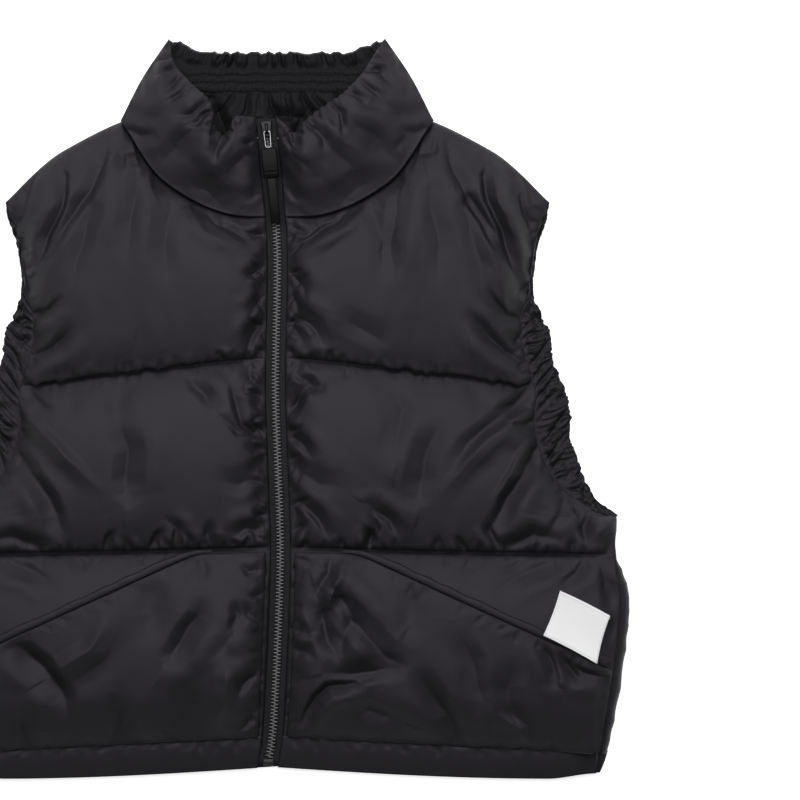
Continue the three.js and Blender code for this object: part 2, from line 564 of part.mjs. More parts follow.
// Collar back: its outer face lies down, its inner face shows above the fronts, with a ruffled free edge.
const RUFFLES = 16;
const COLLAR_BACK = { middleTop: 334, seamGap: 1.6, sideThick: 8, edgeDrop: 6, scallop: 1.1, ruffle: 2.6 };
const ruffleWave = (t) => 1 + Math.cos(Math.PI * RUFFLES * t);
const collarBackTop = (t) =>
  lerp(COLLAR_BACK.middleTop, HALF_LENGTH, smoothstep(Math.abs(COLLAR_CORNER.x * t), 62, COLLAR_CORNER.x)) -
  COLLAR_BACK.scallop * ruffleWave(t);
function collarBackPoint(t, h) {
  const low = point(NECK_POINT.x * t, backNeck(Math.abs(NECK_POINT.x * t)) + COLLAR_BACK.seamGap);
  const p = low.lerp(point(COLLAR_CORNER.x * t, collarBackTop(t)), h);
  const ruffle = smoothstep(h, 0.83, 0.92) * (1 - smoothstep(h, 0.94, 1.04));
  const ends = rise((1 - Math.abs(t)) * 120, 9);
  const raised = COLLAR_BACK.ruffle * ruffle * ruffleWave(t) * ends;
  const top = COLLAR_BACK_THICK - COLLAR_BACK.edgeDrop * smoothstep(h, 0.93, 1) + raised;
  return { outer: point(p.x, p.y, lerp(COLLAR_BACK.sideThick, top, ends)), inner: point(p.x, p.y, 0) };
}
function collarBack() {
  const columns = steps(RUFFLES * 2).map((t) => 2 * t - 1);
  const sparse = columns.filter((_, i) => i % 4 === 0);
  const heights = [0, 0.12, 0.5, 0.82, 0.88, 0.95, 1];
  const outer = heights.map((h) => columns.map((t) => collarBackPoint(t, h).outer));
  const inner = heights.map((h) => sparse.map((t) => collarBackPoint(t, h).inner));
  return solidBetween(outer, inner);
}
add("collar_back", collarBack(), "lining");

// Elastic at the back of the neck: three stitched channels across the collar's inner face.
const ELASTIC = {
  low: 296, high: 317.5, lowHalf: 93.8, highHalf: 88.3, base: COLLAR_BACK_THICK + SEAM_GAP,
  channels: 3, thick: 1.1, swell: 1.3, rib: 0.35, ribs: 24,
};
function neckElastic() {
  const across = steps(2 * ELASTIC.channels);
  const columns = steps(ELASTIC.ribs * 2).map((t) => 2 * t - 1);
  const rowAt = (v, key) => (t, i) => {
    const channel = Math.abs(Math.sin(ELASTIC.channels * Math.PI * v));
    const rib = i % 2 ? ELASTIC.rib : -ELASTIC.rib;
    const z = key === "inner" ? 0 : ELASTIC.thick + channel * (ELASTIC.swell + rib);
    const x = t * lerp(ELASTIC.lowHalf, ELASTIC.highHalf, v);
    return point(x, lerp(ELASTIC.low, ELASTIC.high, v), ELASTIC.base + z);
  };
  const outer = across.map((v) => columns.map(rowAt(v, "outer")));
  const inner = across.map((v) => [-1, 0, 1].map(rowAt(v, "inner")));
  return solidBetween(outer, inner);
}
add("neck_elastic", neckElastic(), "lining");

// Zip: two woven tapes, the closed chain on them, and the box at the lower end.
const ZIP_LIFT = 1.6;
const zipLevel = (y) => BACK_THICK + ZIP_LIFT + COLLAR_MOUTH_LIFT * smoothstep(y, 175, 262);
const ZIP_TOP = 270;
const ZIP_FOOT = -331;
const ZIP_ROWS = steps(34).map((t) => lerp(ZIP_FOOT, ZIP_TOP, t));
const zipFloor = (y) => zipLevel(y) - HEM_DROP * smoothstep(-y, 265, 320);
function zipStrip(from, to, low, high, rows = ZIP_ROWS) {
  const at = (x, z) => (y) => point(zipX(y) + x, y, zipFloor(y) + z);
  const grid = (z) => rows.map((y) => [at(from, z)(y), at(to, z)(y)]);
  return solidBetween(grid(high), grid(low));
}
const TAPE = { inner: 0.3, outer: TAPE_HALF - SEAM_GAP, thick: 1.2 };
add("zip_tape_left", zipStrip(TAPE.inner, TAPE.outer, 0, TAPE.thick), "tape");
add("zip_tape_right", zipStrip(-TAPE.outer, -TAPE.inner, 0, TAPE.thick), "tape");
const CHAIN = { low: TAPE.thick + SEAM_GAP, high: TAPE.thick + 2.8, foot: ZIP_FOOT + 6.5, top: 252 };
const CHAIN_ROWS = steps(34).map((t) => lerp(CHAIN.foot, CHAIN.top, t));
add("zip_chain", zipStrip(-CHAIN_HALF, CHAIN_HALF, CHAIN.low, CHAIN.high, CHAIN_ROWS), "chain");
const BOX = { halfWidth: 5.2, high: TAPE.thick + 3.8, from: ZIP_FOOT - 1, to: ZIP_FOOT + 5.5 };
const BOX_ROWS = steps(3).map((t) => lerp(BOX.from, BOX.to, t));
add("zip_box", zipStrip(-BOX.halfWidth, BOX.halfWidth, CHAIN.low, BOX.high, BOX_ROWS), "chain");

// Slider at the top of the chain, and the pull that hangs on its bridge.
const SLIDER = { y: 260, halfWidth: 5.25, footHalf: 3.25, halfLength: 7.5, shoulder: 1.5, high: 6.2, bevel: 0.8 };
const lean = Math.atan2(zipX(270) - zipX(225), 270 - 225);
const sliderGroup = new THREE.Group();
sliderGroup.name = "slider_place";
sliderGroup.position.set(zipX(SLIDER.y), SLIDER.y, zipLevel(SLIDER.y) + TAPE.thick + SEAM_GAP);
sliderGroup.rotation.z = -lean;
vest.add(sliderGroup);

// A flat plate with rounded corners, from its plan outline, standing from z = low to high.
function plate(shapePoints, low, high, bevel = 0) {
  const shape = new THREE.Shape(shapePoints.map(([x, y]) => new THREE.Vector2(x, y)));
  const geometry = new THREE.ExtrudeGeometry(shape, {
    depth: high - low - 2 * bevel, bevelEnabled: bevel > 0, bevelThickness: bevel, bevelSize: bevel,
    bevelOffset: -bevel, bevelSegments: 1, curveSegments: 6,
  });
  return geometry.translate(0, 0, low + bevel);
}
const sliderSide = [
  [SLIDER.footHalf, -SLIDER.halfLength], [SLIDER.halfWidth, SLIDER.shoulder],
  [SLIDER.halfWidth, SLIDER.halfLength],
];
const mirrored = (points) => [...points, ...points.map(([x, y]) => [-x, y]).reverse()];
add("zip_slider", plate(mirrored(sliderSide), 0, SLIDER.high, SLIDER.bevel), "metal", sliderGroup);

// Bridge on the slider: an arch whose opening holds the link's pin.
const BRIDGE = { wide: 3, halfLength: 5.2, low: 0.3, high: 4.6, thick: 1.4, corner: 1.4 };
const HINGE_UP = SLIDER.high + 2.1;
const bridgeHalf = [
  [BRIDGE.halfLength - BRIDGE.thick, BRIDGE.high - BRIDGE.thick],
  [BRIDGE.halfLength - BRIDGE.thick, BRIDGE.low],
  [BRIDGE.halfLength, BRIDGE.low], [BRIDGE.halfLength, BRIDGE.high - BRIDGE.corner],
  [BRIDGE.halfLength - BRIDGE.corner, BRIDGE.high],
];
const bridgeShape = new THREE.Shape(mirrored(bridgeHalf).map(([y, z]) => new THREE.Vector2(y, z)));
const bridge = new THREE.ExtrudeGeometry(bridgeShape, { depth: BRIDGE.wide, bevelEnabled: false });
bridge.applyMatrix4(new THREE.Matrix4().makeBasis(point(0, 1, 0), point(0, 0, 1), point(1, 0, 0)));
bridge.translate(-BRIDGE.wide / 2, 0, SLIDER.high);
add("slider_bridge", bridge, "metal", sliderGroup);

// Pull: a wire link through the bridge, a moulded grip and a flat strap, lying down the zip.
const pullGroup = new THREE.Group();
pullGroup.name = "pull_place";
pullGroup.position.set(0, -2.6, HINGE_UP);
pullGroup.rotation.x = THREE.MathUtils.degToRad(5.4);
sliderGroup.add(pullGroup);
const LINK = { topHalf: 3.6, footHalf: 3.0, wire: 0.65, length: 15 };
const linkLoop = (inset) => mirrored([
  [LINK.footHalf - inset, -LINK.length + inset], [LINK.topHalf - inset, LINK.wire - inset],
]).map(([x, y]) => new THREE.Vector2(x, y));
const linkShape = new THREE.Shape(linkLoop(0));
linkShape.holes.push(new THREE.Path(linkLoop(2 * LINK.wire)));
const link = new THREE.ExtrudeGeometry(linkShape, { depth: 2 * LINK.wire, bevelEnabled: false });
add("pull_link", link.translate(0, 0, -LINK.wire), "metal", pullGroup);
const GRIP = { halfWidth: 7.3, topHalf: 6, footHalf: 5.6, from: -15.4, to: -43, halfThick: 2.3, bevel: 0.7 };
const gripSide = [
  [GRIP.footHalf, GRIP.to], [GRIP.halfWidth, GRIP.to + 5],
  [GRIP.halfWidth, GRIP.from - 1.5], [GRIP.topHalf, GRIP.from],
];
add("pull_grip", plate(mirrored(gripSide), -GRIP.halfThick, GRIP.halfThick, GRIP.bevel), "rubber", pullGroup);
const STRAP = { halfWidth: 4.3, footHalf: 2.6, from: GRIP.to - 0.4, to: -86, halfThick: 1.2, bevel: 0.5 };
const strapSide = [
  [STRAP.footHalf, STRAP.to], [STRAP.halfWidth, STRAP.to + 4], [STRAP.halfWidth, STRAP.from],
];
const strapPlate = plate(mirrored(strapSide), -STRAP.halfThick, STRAP.halfThick, STRAP.bevel);
add("pull_strap", strapPlate, "rubber", pullGroup);

// Woven label, sewn over the welt of the wearer's left pocket and left plain. It lies up over the front.
const LABEL = {
  thick: 1.1, lift: 0.7, reach: 20,
  low: [point(246.9, -209.3), point(296.7, -235.8)], high: [point(262.7, -168.3), point(309.2, -191.6)],
};
// Highest outer point of the front near a place, so that the label clears its facets.
const frontPointsNearLabel = frontPlan(1).slice(0, 2).flatMap((part) =>
  COLUMNS.slice(12).flatMap((u) => part.rows.map((v) => frontPoint(1, part, u, v).outer)));
const frontAt = (x, y) => Math.max(
  ...frontPointsNearLabel.filter((p) => Math.hypot(p.x - x, p.y - y) < LABEL.reach).map((p) => p.z));

function labelPoint(t, v) {
  const [low, high] = [LABEL.low, LABEL.high].map(([start, end]) => start.clone().lerp(end, t));
  const p = low.lerp(high, v);
  const overWelt = 1 - smoothstep(v, 0.3, 0.75);
  return p.setZ(frontAt(p.x, p.y) + LABEL.lift + overWelt * (WELT.lift + WELT.high));
}
const labelFoot = steps(6).map((v) => steps(6).map((t) => labelPoint(t, v)));
const labelTop = labelFoot.map((row) => row.map((p) => point(p.x, p.y, p.z + LABEL.thick)));
add("pocket_label", solidBetween(labelTop, labelFoot), "label");

export default vest;
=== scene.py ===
"""A quilted puffer vest, zipped up and laid on its back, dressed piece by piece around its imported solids.

Shapes are worked out in millimetres, with x towards the wearer's left, y from hem to collar and z up. Each
half is worked out on its own side, with x counted from the middle outwards, and meshes are in metres.
"""
import math

import bmesh
import bpy
import numpy as np
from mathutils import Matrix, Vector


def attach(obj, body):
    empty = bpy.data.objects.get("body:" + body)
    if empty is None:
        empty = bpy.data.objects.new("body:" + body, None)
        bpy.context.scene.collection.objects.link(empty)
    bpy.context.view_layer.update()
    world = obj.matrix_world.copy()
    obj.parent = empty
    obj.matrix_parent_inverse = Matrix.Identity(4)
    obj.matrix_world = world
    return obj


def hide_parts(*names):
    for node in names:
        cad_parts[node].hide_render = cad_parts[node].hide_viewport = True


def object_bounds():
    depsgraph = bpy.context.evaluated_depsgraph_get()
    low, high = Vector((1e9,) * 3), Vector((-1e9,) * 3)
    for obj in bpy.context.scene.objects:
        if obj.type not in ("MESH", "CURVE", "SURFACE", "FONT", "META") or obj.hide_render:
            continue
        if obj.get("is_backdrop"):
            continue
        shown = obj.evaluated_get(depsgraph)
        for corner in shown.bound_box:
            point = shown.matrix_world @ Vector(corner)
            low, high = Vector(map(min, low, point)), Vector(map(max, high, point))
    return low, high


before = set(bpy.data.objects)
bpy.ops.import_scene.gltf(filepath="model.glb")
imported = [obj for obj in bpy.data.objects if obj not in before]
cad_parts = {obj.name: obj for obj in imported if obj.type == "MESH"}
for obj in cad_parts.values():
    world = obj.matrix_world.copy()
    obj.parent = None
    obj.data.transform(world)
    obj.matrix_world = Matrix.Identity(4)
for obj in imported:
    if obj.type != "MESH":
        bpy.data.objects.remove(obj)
solids_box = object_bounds()

# Front panels: black nylon taffeta over synthetic fill, cut in one piece each side from hem casing to neck
# and shoulder. Two lines of stitching quilt them across, and the cloth between is longer than its seams.
MM = 0.001
TAPE_HALF = 9.6
SEAM_GAP = 0.5
BACK_THICK = 16
FRONT_CROWN = 27
FRONT_EDGE = 5
QUILT_SEAM = 4
SIDE_SEAM_LIFT = 9
SEAM_DROP = 7
HEM_DROP = 5
SEAM_REACH = 50
UNDERARM = (316, -101)
ARMHOLE_MIDDLE = (241, 21)
SHOULDER_TIP = (253, 193)
HEM_LOW = -345
HEM_SIDE_Y = -321
SEAM_SIDE_Y = -136
ENDS = np.array([0.0, 1.0])
# How much finer the last grids of settled cloth are than the first ones.
FINEST = 4


def mix(a, b, t):
    """a at t = 0 and b at t = 1, with a straight blend between them."""
    return a + (b - a) * t


def ease(t, low, high):
    """0 below low and 1 above high, with the smooth step 3s^2 - 2s^3 between them."""
    s = np.clip((t - low) / (high - low), 0, 1)
    return s * s * (3 - 2 * s)


def bell(t):
    """exp(-t^2), a soft bump."""
    return np.exp(-t * t)


def near(t):
    """1 at t = 0 and 0 from t = 1 on, by the same smooth step."""
    return 1 - ease(t, 0, 1)


def unit(ways):
    """Directions, each made 1 long."""
    return ways / np.linalg.norm(ways, axis=-1, keepdims=True)


def lengths_along(line):
    """Length of a row of points from its start up to each point."""
    return np.concatenate([[0], np.cumsum(np.linalg.norm(np.diff(line, axis=0), axis=1))])


def place_along(line, far, at):
    """Places on a row of points whose lengths are far, at other lengths."""
    return np.stack([np.interp(at, far, part) for part in line.T], -1)


def curve(points, per=16):
    """Centripetal Catmull-Rom line through plan points, as a function of the share of its length."""
    p = np.array(points, float)
    p = np.vstack([2 * p[0] - p[1], p, 2 * p[-1] - p[-2]])
    pieces = []
    for a, b, c, d in zip(p[:-3], p[1:-2], p[2:-1], p[3:]):
        spans = [math.sqrt(np.linalg.norm(way)) for way in (b - a, c - b, d - c)]
        ta, tb, tc, td = np.cumsum([0, *spans])
        t = np.linspace(tb, tc, per, endpoint=False)[:, None]
        ab = mix(a, b, (t - ta) / (tb - ta))
        bc = mix(b, c, (t - tb) / (tc - tb))
        cd = mix(c, d, (t - tc) / (td - tc))
        abc = mix(ab, bc, (t - ta) / (tc - ta))
        bcd = mix(bc, cd, (t - tb) / (td - tb))
        pieces.append(mix(abc, bcd, (t - tb) / (tc - tb)))
    line = np.vstack([*pieces, p[-2:-1]])
    far = lengths_along(line)
    return lambda t: place_along(line, far / far[-1], t)


def profile(points):
    """x as a smooth function of y, through points that go up in y."""
    line = curve(points)(np.linspace(0, 1, 400))
    return lambda y: np.interp(y, line[:, 1], line[:, 0])


def level(height, start, end):
    """Edge from x = start to x = end at the height that belongs to each x."""
    return lambda u: np.stack([mix(start, end, u), height(mix(start, end, u))], -1)


def upright(x_at, low, high):
    """Edge from y = low to y = high at the x that belongs to each y."""
    return lambda v: np.stack([x_at(mix(low, high, v)), mix(low, high, v)], -1)


def joined(first, second, share):
    """Two edges in a row, of which the first ends at the share."""
    def at(t):
        one, two = first(np.clip(t / share, 0, 1)), second(np.clip((t - share) / (1 - share), 0, 1))
        return np.where((np.asarray(t) < share)[..., None], one, two)
    return at


def fill_between(bottom, top, left, right):
    """Coons surface: the blend of two level and of two upright edges, less that of the four corners."""
    (a, b), (c, d) = bottom(ENDS), top(ENDS)

    def at(u, v):
        s, t = u[..., None], v[..., None]
        return mix(bottom(u), top(u), t) + mix(left(v), right(v), s) - mix(mix(a, b, s), mix(c, d, s), t)
    return at


zip_x = profile([(-11, -345), (-4.8, -307), (-2.1, -270), (1.4, -195), (3, -130), (0.6, -50), (-1.6, 18),
                 (0, 150), (-4.6, 210), (-10.5, 272)])
side_seam = profile([(297, -345), (299.5, -321), (302.3, -304), (307.8, -270), (315, -222), (318.5, -177),
                     (313.8, -136), UNDERARM])
armhole_lower = curve([UNDERARM, (300, -98), (282, -86), (263, -69), (252, -53), (244.6, -33), (241, -16),
                       (241.8, 4), ARMHOLE_MIDDLE])
armhole_upper = curve([ARMHOLE_MIDDLE, (233.4, 46), (228, 68), (229, 85), (232, 101), (235, 117), (238, 137),
                       (241, 157), (247, 176), SHOULDER_TIP])
NECK_POINT = (146, 268)
shoulder = curve([NECK_POINT, (161, 261.5), (189, 247), (207.5, 236), (226, 220.5), SHOULDER_TIP])
NECK_ROWS = [(37, 179.5), (58, 185), (82, 196), (109, 215), (124, 234), (137.5, 256), NECK_POINT]
NECK_SHARE = 0.6
SIDE_SHARE = 0.15


def zip_edge(side):
    """A front's edge beside the zip, as x for each y."""
    return lambda y: side * zip_x(y) + TAPE_HALF


def zip_distance(side, x, y):
    """How far each place lies outwards of that edge."""
    return np.maximum(x - side * zip_x(y) - TAPE_HALF, 0)


def neck_curve(side):
    """The neck seam, from the zip to the shoulder."""
    return curve([(zip_edge(side)(178), 178.6), *NECK_ROWS])


def hem_stitch(x):
    """Height of the stitching above the hem casing, a straight line that falls outwards."""
    return -306.5 - 0.05 * x


def pocket_seam(x):
    """Height of the lower quilting line: -128 - 8 (x / 314)^0.7."""
    return -128 - 8 * np.maximum(x / 314, 0) ** 0.7


def quilt_line(x):
    """Height of the upper quilting line: 48 - 27 (x / 241)^1.25."""
    return 48 - 27 * np.maximum(x / ARMHOLE_MIDDLE[0], 0) ** 1.25


def distance_to(points, x, y):
    """Distance of each place from a row of points, below 0 on its right, and its share of their length."""
    line = np.asarray(points, float)
    spans = np.linalg.norm(np.diff(line, axis=0), axis=1)
    starts = lengths_along(line)
    best, share, hand = np.full(np.shape(x), np.inf), np.zeros(np.shape(x)), np.ones(np.shape(x))
    for a, way, span, start in zip(line[:-1], np.diff(line, axis=0), spans, starts):
        t = np.clip(((x - a[0]) * way[0] + (y - a[1]) * way[1]) / span**2, 0, 1)
        far = np.hypot(x - a[0] - t * way[0], y - a[1] - t * way[1])
        nearer = far < best
        share = np.where(nearer, (start + t * span) / starts[-1], share)
        hand = np.where(nearer, np.where(way[0] * (y - a[1]) < way[1] * (x - a[0]), -1, 1), hand)
        best = np.minimum(best, far)
    return best * hand, share


SIDE_LINE = upright(side_seam, HEM_LOW, UNDERARM[1])(np.linspace(0, 1, 9))
ARMHOLE_LINE = np.vstack([armhole_lower(np.linspace(0, 1, 13)), armhole_upper(np.linspace(0, 1, 13))[1:]])
SHOULDER_LINE = shoulder(np.linspace(0, 1, 9))
OUTER_LINE = np.vstack([SIDE_LINE, ARMHOLE_LINE[1:]])
HEM_LINE = [(0, hem_stitch(0)), (300, hem_stitch(300))]


def inner_face(x, y):
    """Height of the back's inner face: level, raised towards the side seams and lowered at the others."""
    def by(line):
        return near(np.abs(distance_to(line, np.abs(x), y)[0]) / SEAM_REACH)
    drop = SEAM_DROP * np.maximum(by(ARMHOLE_LINE), by(SHOULDER_LINE))
    return BACK_THICK + SIDE_SEAM_LIFT * by(SIDE_LINE) - np.maximum(drop, HEM_DROP * by(HEM_LINE))


def quilted_rows(inner, top):
    """Plan of three quilted rows from an inner edge, each a function of (u outwards, v from the hem up)."""
    hem = level(hem_stitch, inner(-307), side_seam(HEM_SIDE_Y))
    seam = level(pocket_seam, inner(-128), side_seam(SEAM_SIDE_Y))
    quilt = level(quilt_line, inner(47), ARMHOLE_MIDDLE[0])
    seam_end = side_seam(SEAM_SIDE_Y)

    def side_height(x):
        return mix(SEAM_SIDE_Y, UNDERARM[1], (x - seam_end) / (UNDERARM[0] - seam_end))

    def edge(low, high):
        return upright(inner, low(ENDS)[0, 1], high(ENDS)[0, 1])
    side = upright(side_seam, hem(ENDS)[1, 1], seam(ENDS)[1, 1])
    underarm = joined(level(side_height, seam_end, UNDERARM[0]), armhole_lower, SIDE_SHARE)
    return [fill_between(low, high, edge(low, high), outer)
            for low, high, outer in ((hem, seam, side), (seam, quilt, underarm), (quilt, top, armhole_upper))]


# How much deeper a crease is pressed than it is listed, since the fill under it pushes back.
PRESS = 1.5


def creases(x, y, rows):
    """Sum of troughs, each deep x (1 - distance / side)^1.25 with a low ridge beside it, faded at its ends.

    The side is 2.1 wide on the left, where the cloth folds over, and 0.9 wide on the right, or 1.6 in wide
    hollows. Those more than 9 wide are soft bells. The lines wander a little."""
    total = np.zeros(np.shape(x))
    bent_x = x + 0.7 * np.sin(y / 7.3 + 1.3 * np.sin(x / 11)) + 0.25 * np.sin(y / 2.9 + x / 7)
    bent_y = y + 0.7 * np.sin(x / 8.1 + 1.5 * np.sin(y / 9)) + 0.25 * np.sin(x / 3.3 - y / 8)
    for wide, deep, points in rows:
        far, share = distance_to(points, bent_x, bent_y)
        slope = np.abs(far) / (wide * np.where(far > 0, 2.1, mix(0.9, 1.6, ease(wide, 4, 8))))
        dip = bell(far / wide) if wide > 9 else np.maximum(1 - slope, 0) ** 1.25
        dip = dip - 0.3 * bell((far - 2.9 * wide) / (1.3 * wide))
        total += PRESS * deep * dip * ease(share, -0.25, 0.2) * (1 - ease(share, 0.45, 1.05))
    return total


def streaks(x, y):
    """Broad low waves about 50 mm apart that run up the cloth, where its fill is uneven."""
    broad = np.sin(x / 8.7 + 2.2 * np.sin(y / 61 + 1) + 1.3 * np.sin(x / 33))
    small = np.sin(x / 4.1 - y / 21 + 2.4 * np.sin(y / 37))
    return (0.55 * broad + 0.16 * small) * (0.6 + 0.4 * np.sin(y / 43 + x / 57 + 2 * np.sin(x / 23)))


def puckers(seam, apart, reach, deep, turn, seed, hand=1):
    """Crease rows from a seam into the cloth on its left, uneven in place, length, depth and direction.

    Each leaves the seam square to it but for a turn in radians. A hand of -1 puts them on its right."""
    chance = np.random.RandomState(seed)
    far = lengths_along(seam)
    rows, at = [], apart * chance.uniform(0.2, 0.8)
    while at < far[-1] - 2:
        place = place_along(seam, far, at)
        way = place_along(seam, far, at + 1) - place
        angle = turn + chance.normal(0, 0.35)
        into = hand * np.array([-way[1], way[0]])
        length = reach * chance.uniform(0.45, 1.25)
        end = place + length * (math.cos(angle) * into + math.sin(angle) * way)
        bend = mix(place, end, 0.5) + chance.normal(0, 0.09, 2) * length
        share = length / reach
        rows.append((mix(1.5, 2.6, share), deep * chance.uniform(0.5, 1.2), [place, bend, end]))
        at += apart * chance.uniform(0.45, 1.7)
    return rows


# Wide, deep and way of each main crease of the wearer's left front, a ridge where deep is below 0.
CREASES_LEFT = [
    (6, 4.5, [(158, 248), (164, 219), (180, 195), (202, 163), (219, 129), (230, 113)]),
    (5, 7, [(192, 217), (196, 192), (206, 172), (215, 146), (221, 125), (228, 108)]),
    (7, -3, [(200, 222), (208, 190), (220, 160), (229, 130)]),
    (5, 5, [(226, 220), (236, 199), (241, 176)]),
    (4, 4, [(226, 196), (234, 169), (240, 155)]),
    (5, 4, [(229, 84), (213, 88), (203, 99), (193, 116)]),
    (6, 5, [(226, 46), (211, 55), (193, 73), (173, 92)]),
    (5, 4, [(133, 236), (147, 240), (146, 262)]),
    (4.5, 5, [(72, 192), (54, 174), (30, 159), (10, 152)]),
    (7, -3, [(62, 176), (40, 158), (20, 147)]),
    (8, 3, [(142, 198), (151, 150), (148, 112)]),
    (8, 3.2, [(88, 190), (99, 150), (96, 112)]),
    (7, 3, [(112, 196), (106, 150), (110, 112)]),
    (8, 3.2, [(174, 186), (188, 138), (192, 96)]),
    (8, -3, [(214, 96), (200, 140), (184, 184)]),
    (4, 5, [(176, 192), (192, 168), (208, 138)]),
    (8, 6, [(308, -126), (312, -160), (313, -200), (308, -250)]),
    (5, 4, [(9, 131), (24, 113), (30, 98)]),
    (5, 3.5, [(10, 116), (20, 94), (24, 82)]),
    (6, 5, [(12, 92), (22, 84), (36, 73), (47, 54)]),
    (5, 3.5, [(9, 80), (20, 68), (26, 58)]),
    (8, 2, [(66, 80), (106, 58)]),
    (4, 3.5, [(10, 172), (24, 164), (34, 166)]),
    (6, 4.5, [(12, -6), (21, 9), (28, 21), (42, 20), (52, 44)]),
    (5, 4, [(11, -24), (23, -33), (37, -49)]),
    (5, 3, [(14, 34), (30, 24), (34, 8)]),
    (8, 2.5, [(12, -52), (40, -70), (70, -74)]),
    (5, 4.5, [(20, -84), (38, -103), (51, -124)]),
    (4, 3.5, [(83, -126), (93, -112), (88, -92)]),
    (5, 4, [(90, -93), (104, -103), (116, -122)]),
    (4, 4, [(9, -84), (18, -96), (14, -112)]),
    (7, 7.5, [(243, -34), (226, -62), (205, -98), (190, -126)]),
    (5, -4, [(238, -26), (214, -64), (196, -104)]),
    (5, 4, [(276, -92), (284, -112), (288, -126)]),
    (6, -4.5, [(230, -3), (196, -29), (170, -55), (150, -82)]),
    (5, 3.5, [(238, -10), (222, -15), (204, -10)]),
    (9, 5, [(133, -78), (137, -47), (152, -8)]),
    (8, 5, [(236, 12), (206, -8), (178, -32), (158, -66)]),
    (6, 4, [(256, -142), (232, -152), (204, -166)]),
    (5, 3.5, [(286, -140), (278, -152), (262, -164)]),
    (5, 3, [(232, -138), (222, -146), (206, -148)]),
    (6, 3, [(300, -142), (304, -160), (302, -178)]),
    (5, 3, [(182, -134), (176, -146), (168, -152)]),
    (5, 4, [(214, -128), (238, -118), (272, -124)]),
    (5, 3.5, [(292, -96), (284, -112), (290, -130)]),
    (5, 3, [(268, -76), (262, -98), (250, -118)]),
    (6, 4, [(236, 22), (222, 6), (200, -2)]),
    (9, 3.5, [(112, -34), (116, 0), (104, 32)]),
    (11, 2.5, [(186, 26), (190, 6), (180, -14)]),
    (4, 4.5, [(92, -124), (86, -114), (78, -108)]),
    (4, 4.5, [(178, -132), (171, -122), (166, -116)]),
    (4, 4.5, [(206, -126), (199, -114), (196, -104)]),
]

# The same for the right front, as distances from the middle. Its outer part is outside the photograph.
CREASES_RIGHT = [
    (6, 5, [(70, 190), (56, 172), (37, 163), (14, 154)]),
    (7, -3, [(64, 176), (44, 160), (22, 148)]),
    (4, 4, [(8, 136), (20, 126), (30, 118)]),
    (4, 4, [(8, 110), (22, 94), (26, 84)]),
    (5, 5, [(10, 84), (22, 68), (30, 50)]),
    (4, 3, [(9, 164), (20, 160), (30, 164)]),
    (5, 4, [(26, 46), (24, 28), (33, 12)]),
    (5, 4.5, [(17, -25), (32, -14), (40, 9), (45, 34)]),
    (5, 3.5, [(15, -22), (36, -22), (52, -6)]),
    (6, 3.5, [(62, 6), (76, 21), (86, 38)]),
    (4, 4, [(9, -6), (20, -8), (26, -2)]),
    (4, 4, [(9, -36), (22, -40), (32, -34)]),
    (4, 4, [(9, -98), (18, -100), (24, -92)]),
    (5, 4.5, [(12, -112), (28, -112), (44, -122)]),
    (8, 2.5, [(12, -60), (36, -70), (60, -66)]),
    (4, 3.5, [(60, -127), (66, -116), (60, -100)]),
    (4, 3.5, [(96, -128), (92, -112), (104, -98)]),
    (6, 4.5, [(156, 250), (166, 214), (184, 186), (206, 152), (224, 118)]),
    (5, 6, [(196, 216), (198, 188), (212, 160), (226, 122)]),
    (5, 4.5, [(224, 220), (234, 196), (239, 172)]),
    (5, 4, [(230, 86), (212, 92), (198, 106)]),
    (6, 5, [(227, 50), (208, 58), (186, 80)]),
    (5, 4, [(134, 238), (144, 238), (142, 214)]),
    (8, 3.2, [(130, 212), (134, 176), (142, 130)]),
    (8, 6, [(308, -126), (312, -160), (313, -200), (308, -250)]),
    (7, 6.5, [(244, -38), (222, -66), (204, -96), (196, -128)]),
    (6, -4, [(236, -4), (204, -34), (160, -78)]),
    (9, 5, [(140, -76), (138, -40), (148, -4)]),
    (6, 4, [(250, -142), (228, -150), (206, -162)]),
    (5, 3.5, [(290, -142), (276, -150), (266, -166)]),
    (5, 3, [(190, -134), (180, -144), (176, -154)]),
    (5, 4, [(220, -128), (246, -120), (276, -126)]),
    (5, 3.5, [(290, -96), (280, -114), (288, -130)]),
    (6, 4, [(236, 20), (220, 4), (202, -4)]),
    (12, 2.5, [(142, 32), (150, 6), (144, -20)]),
    (11, 2.5, [(196, 26), (190, 2), (196, -20)]),
    (4, 4.5, [(118, -128), (112, -116), (104, -110)]),
    (4, 4.5, [(160, -130), (156, -118), (148, -112)]),
    (8, 3, [(98, 188), (104, 150), (98, 112)]),
    (8, 3.2, [(172, 184), (184, 140), (190, 100)]),
]
CREASES = {1: CREASES_LEFT, -1: CREASES_RIGHT}


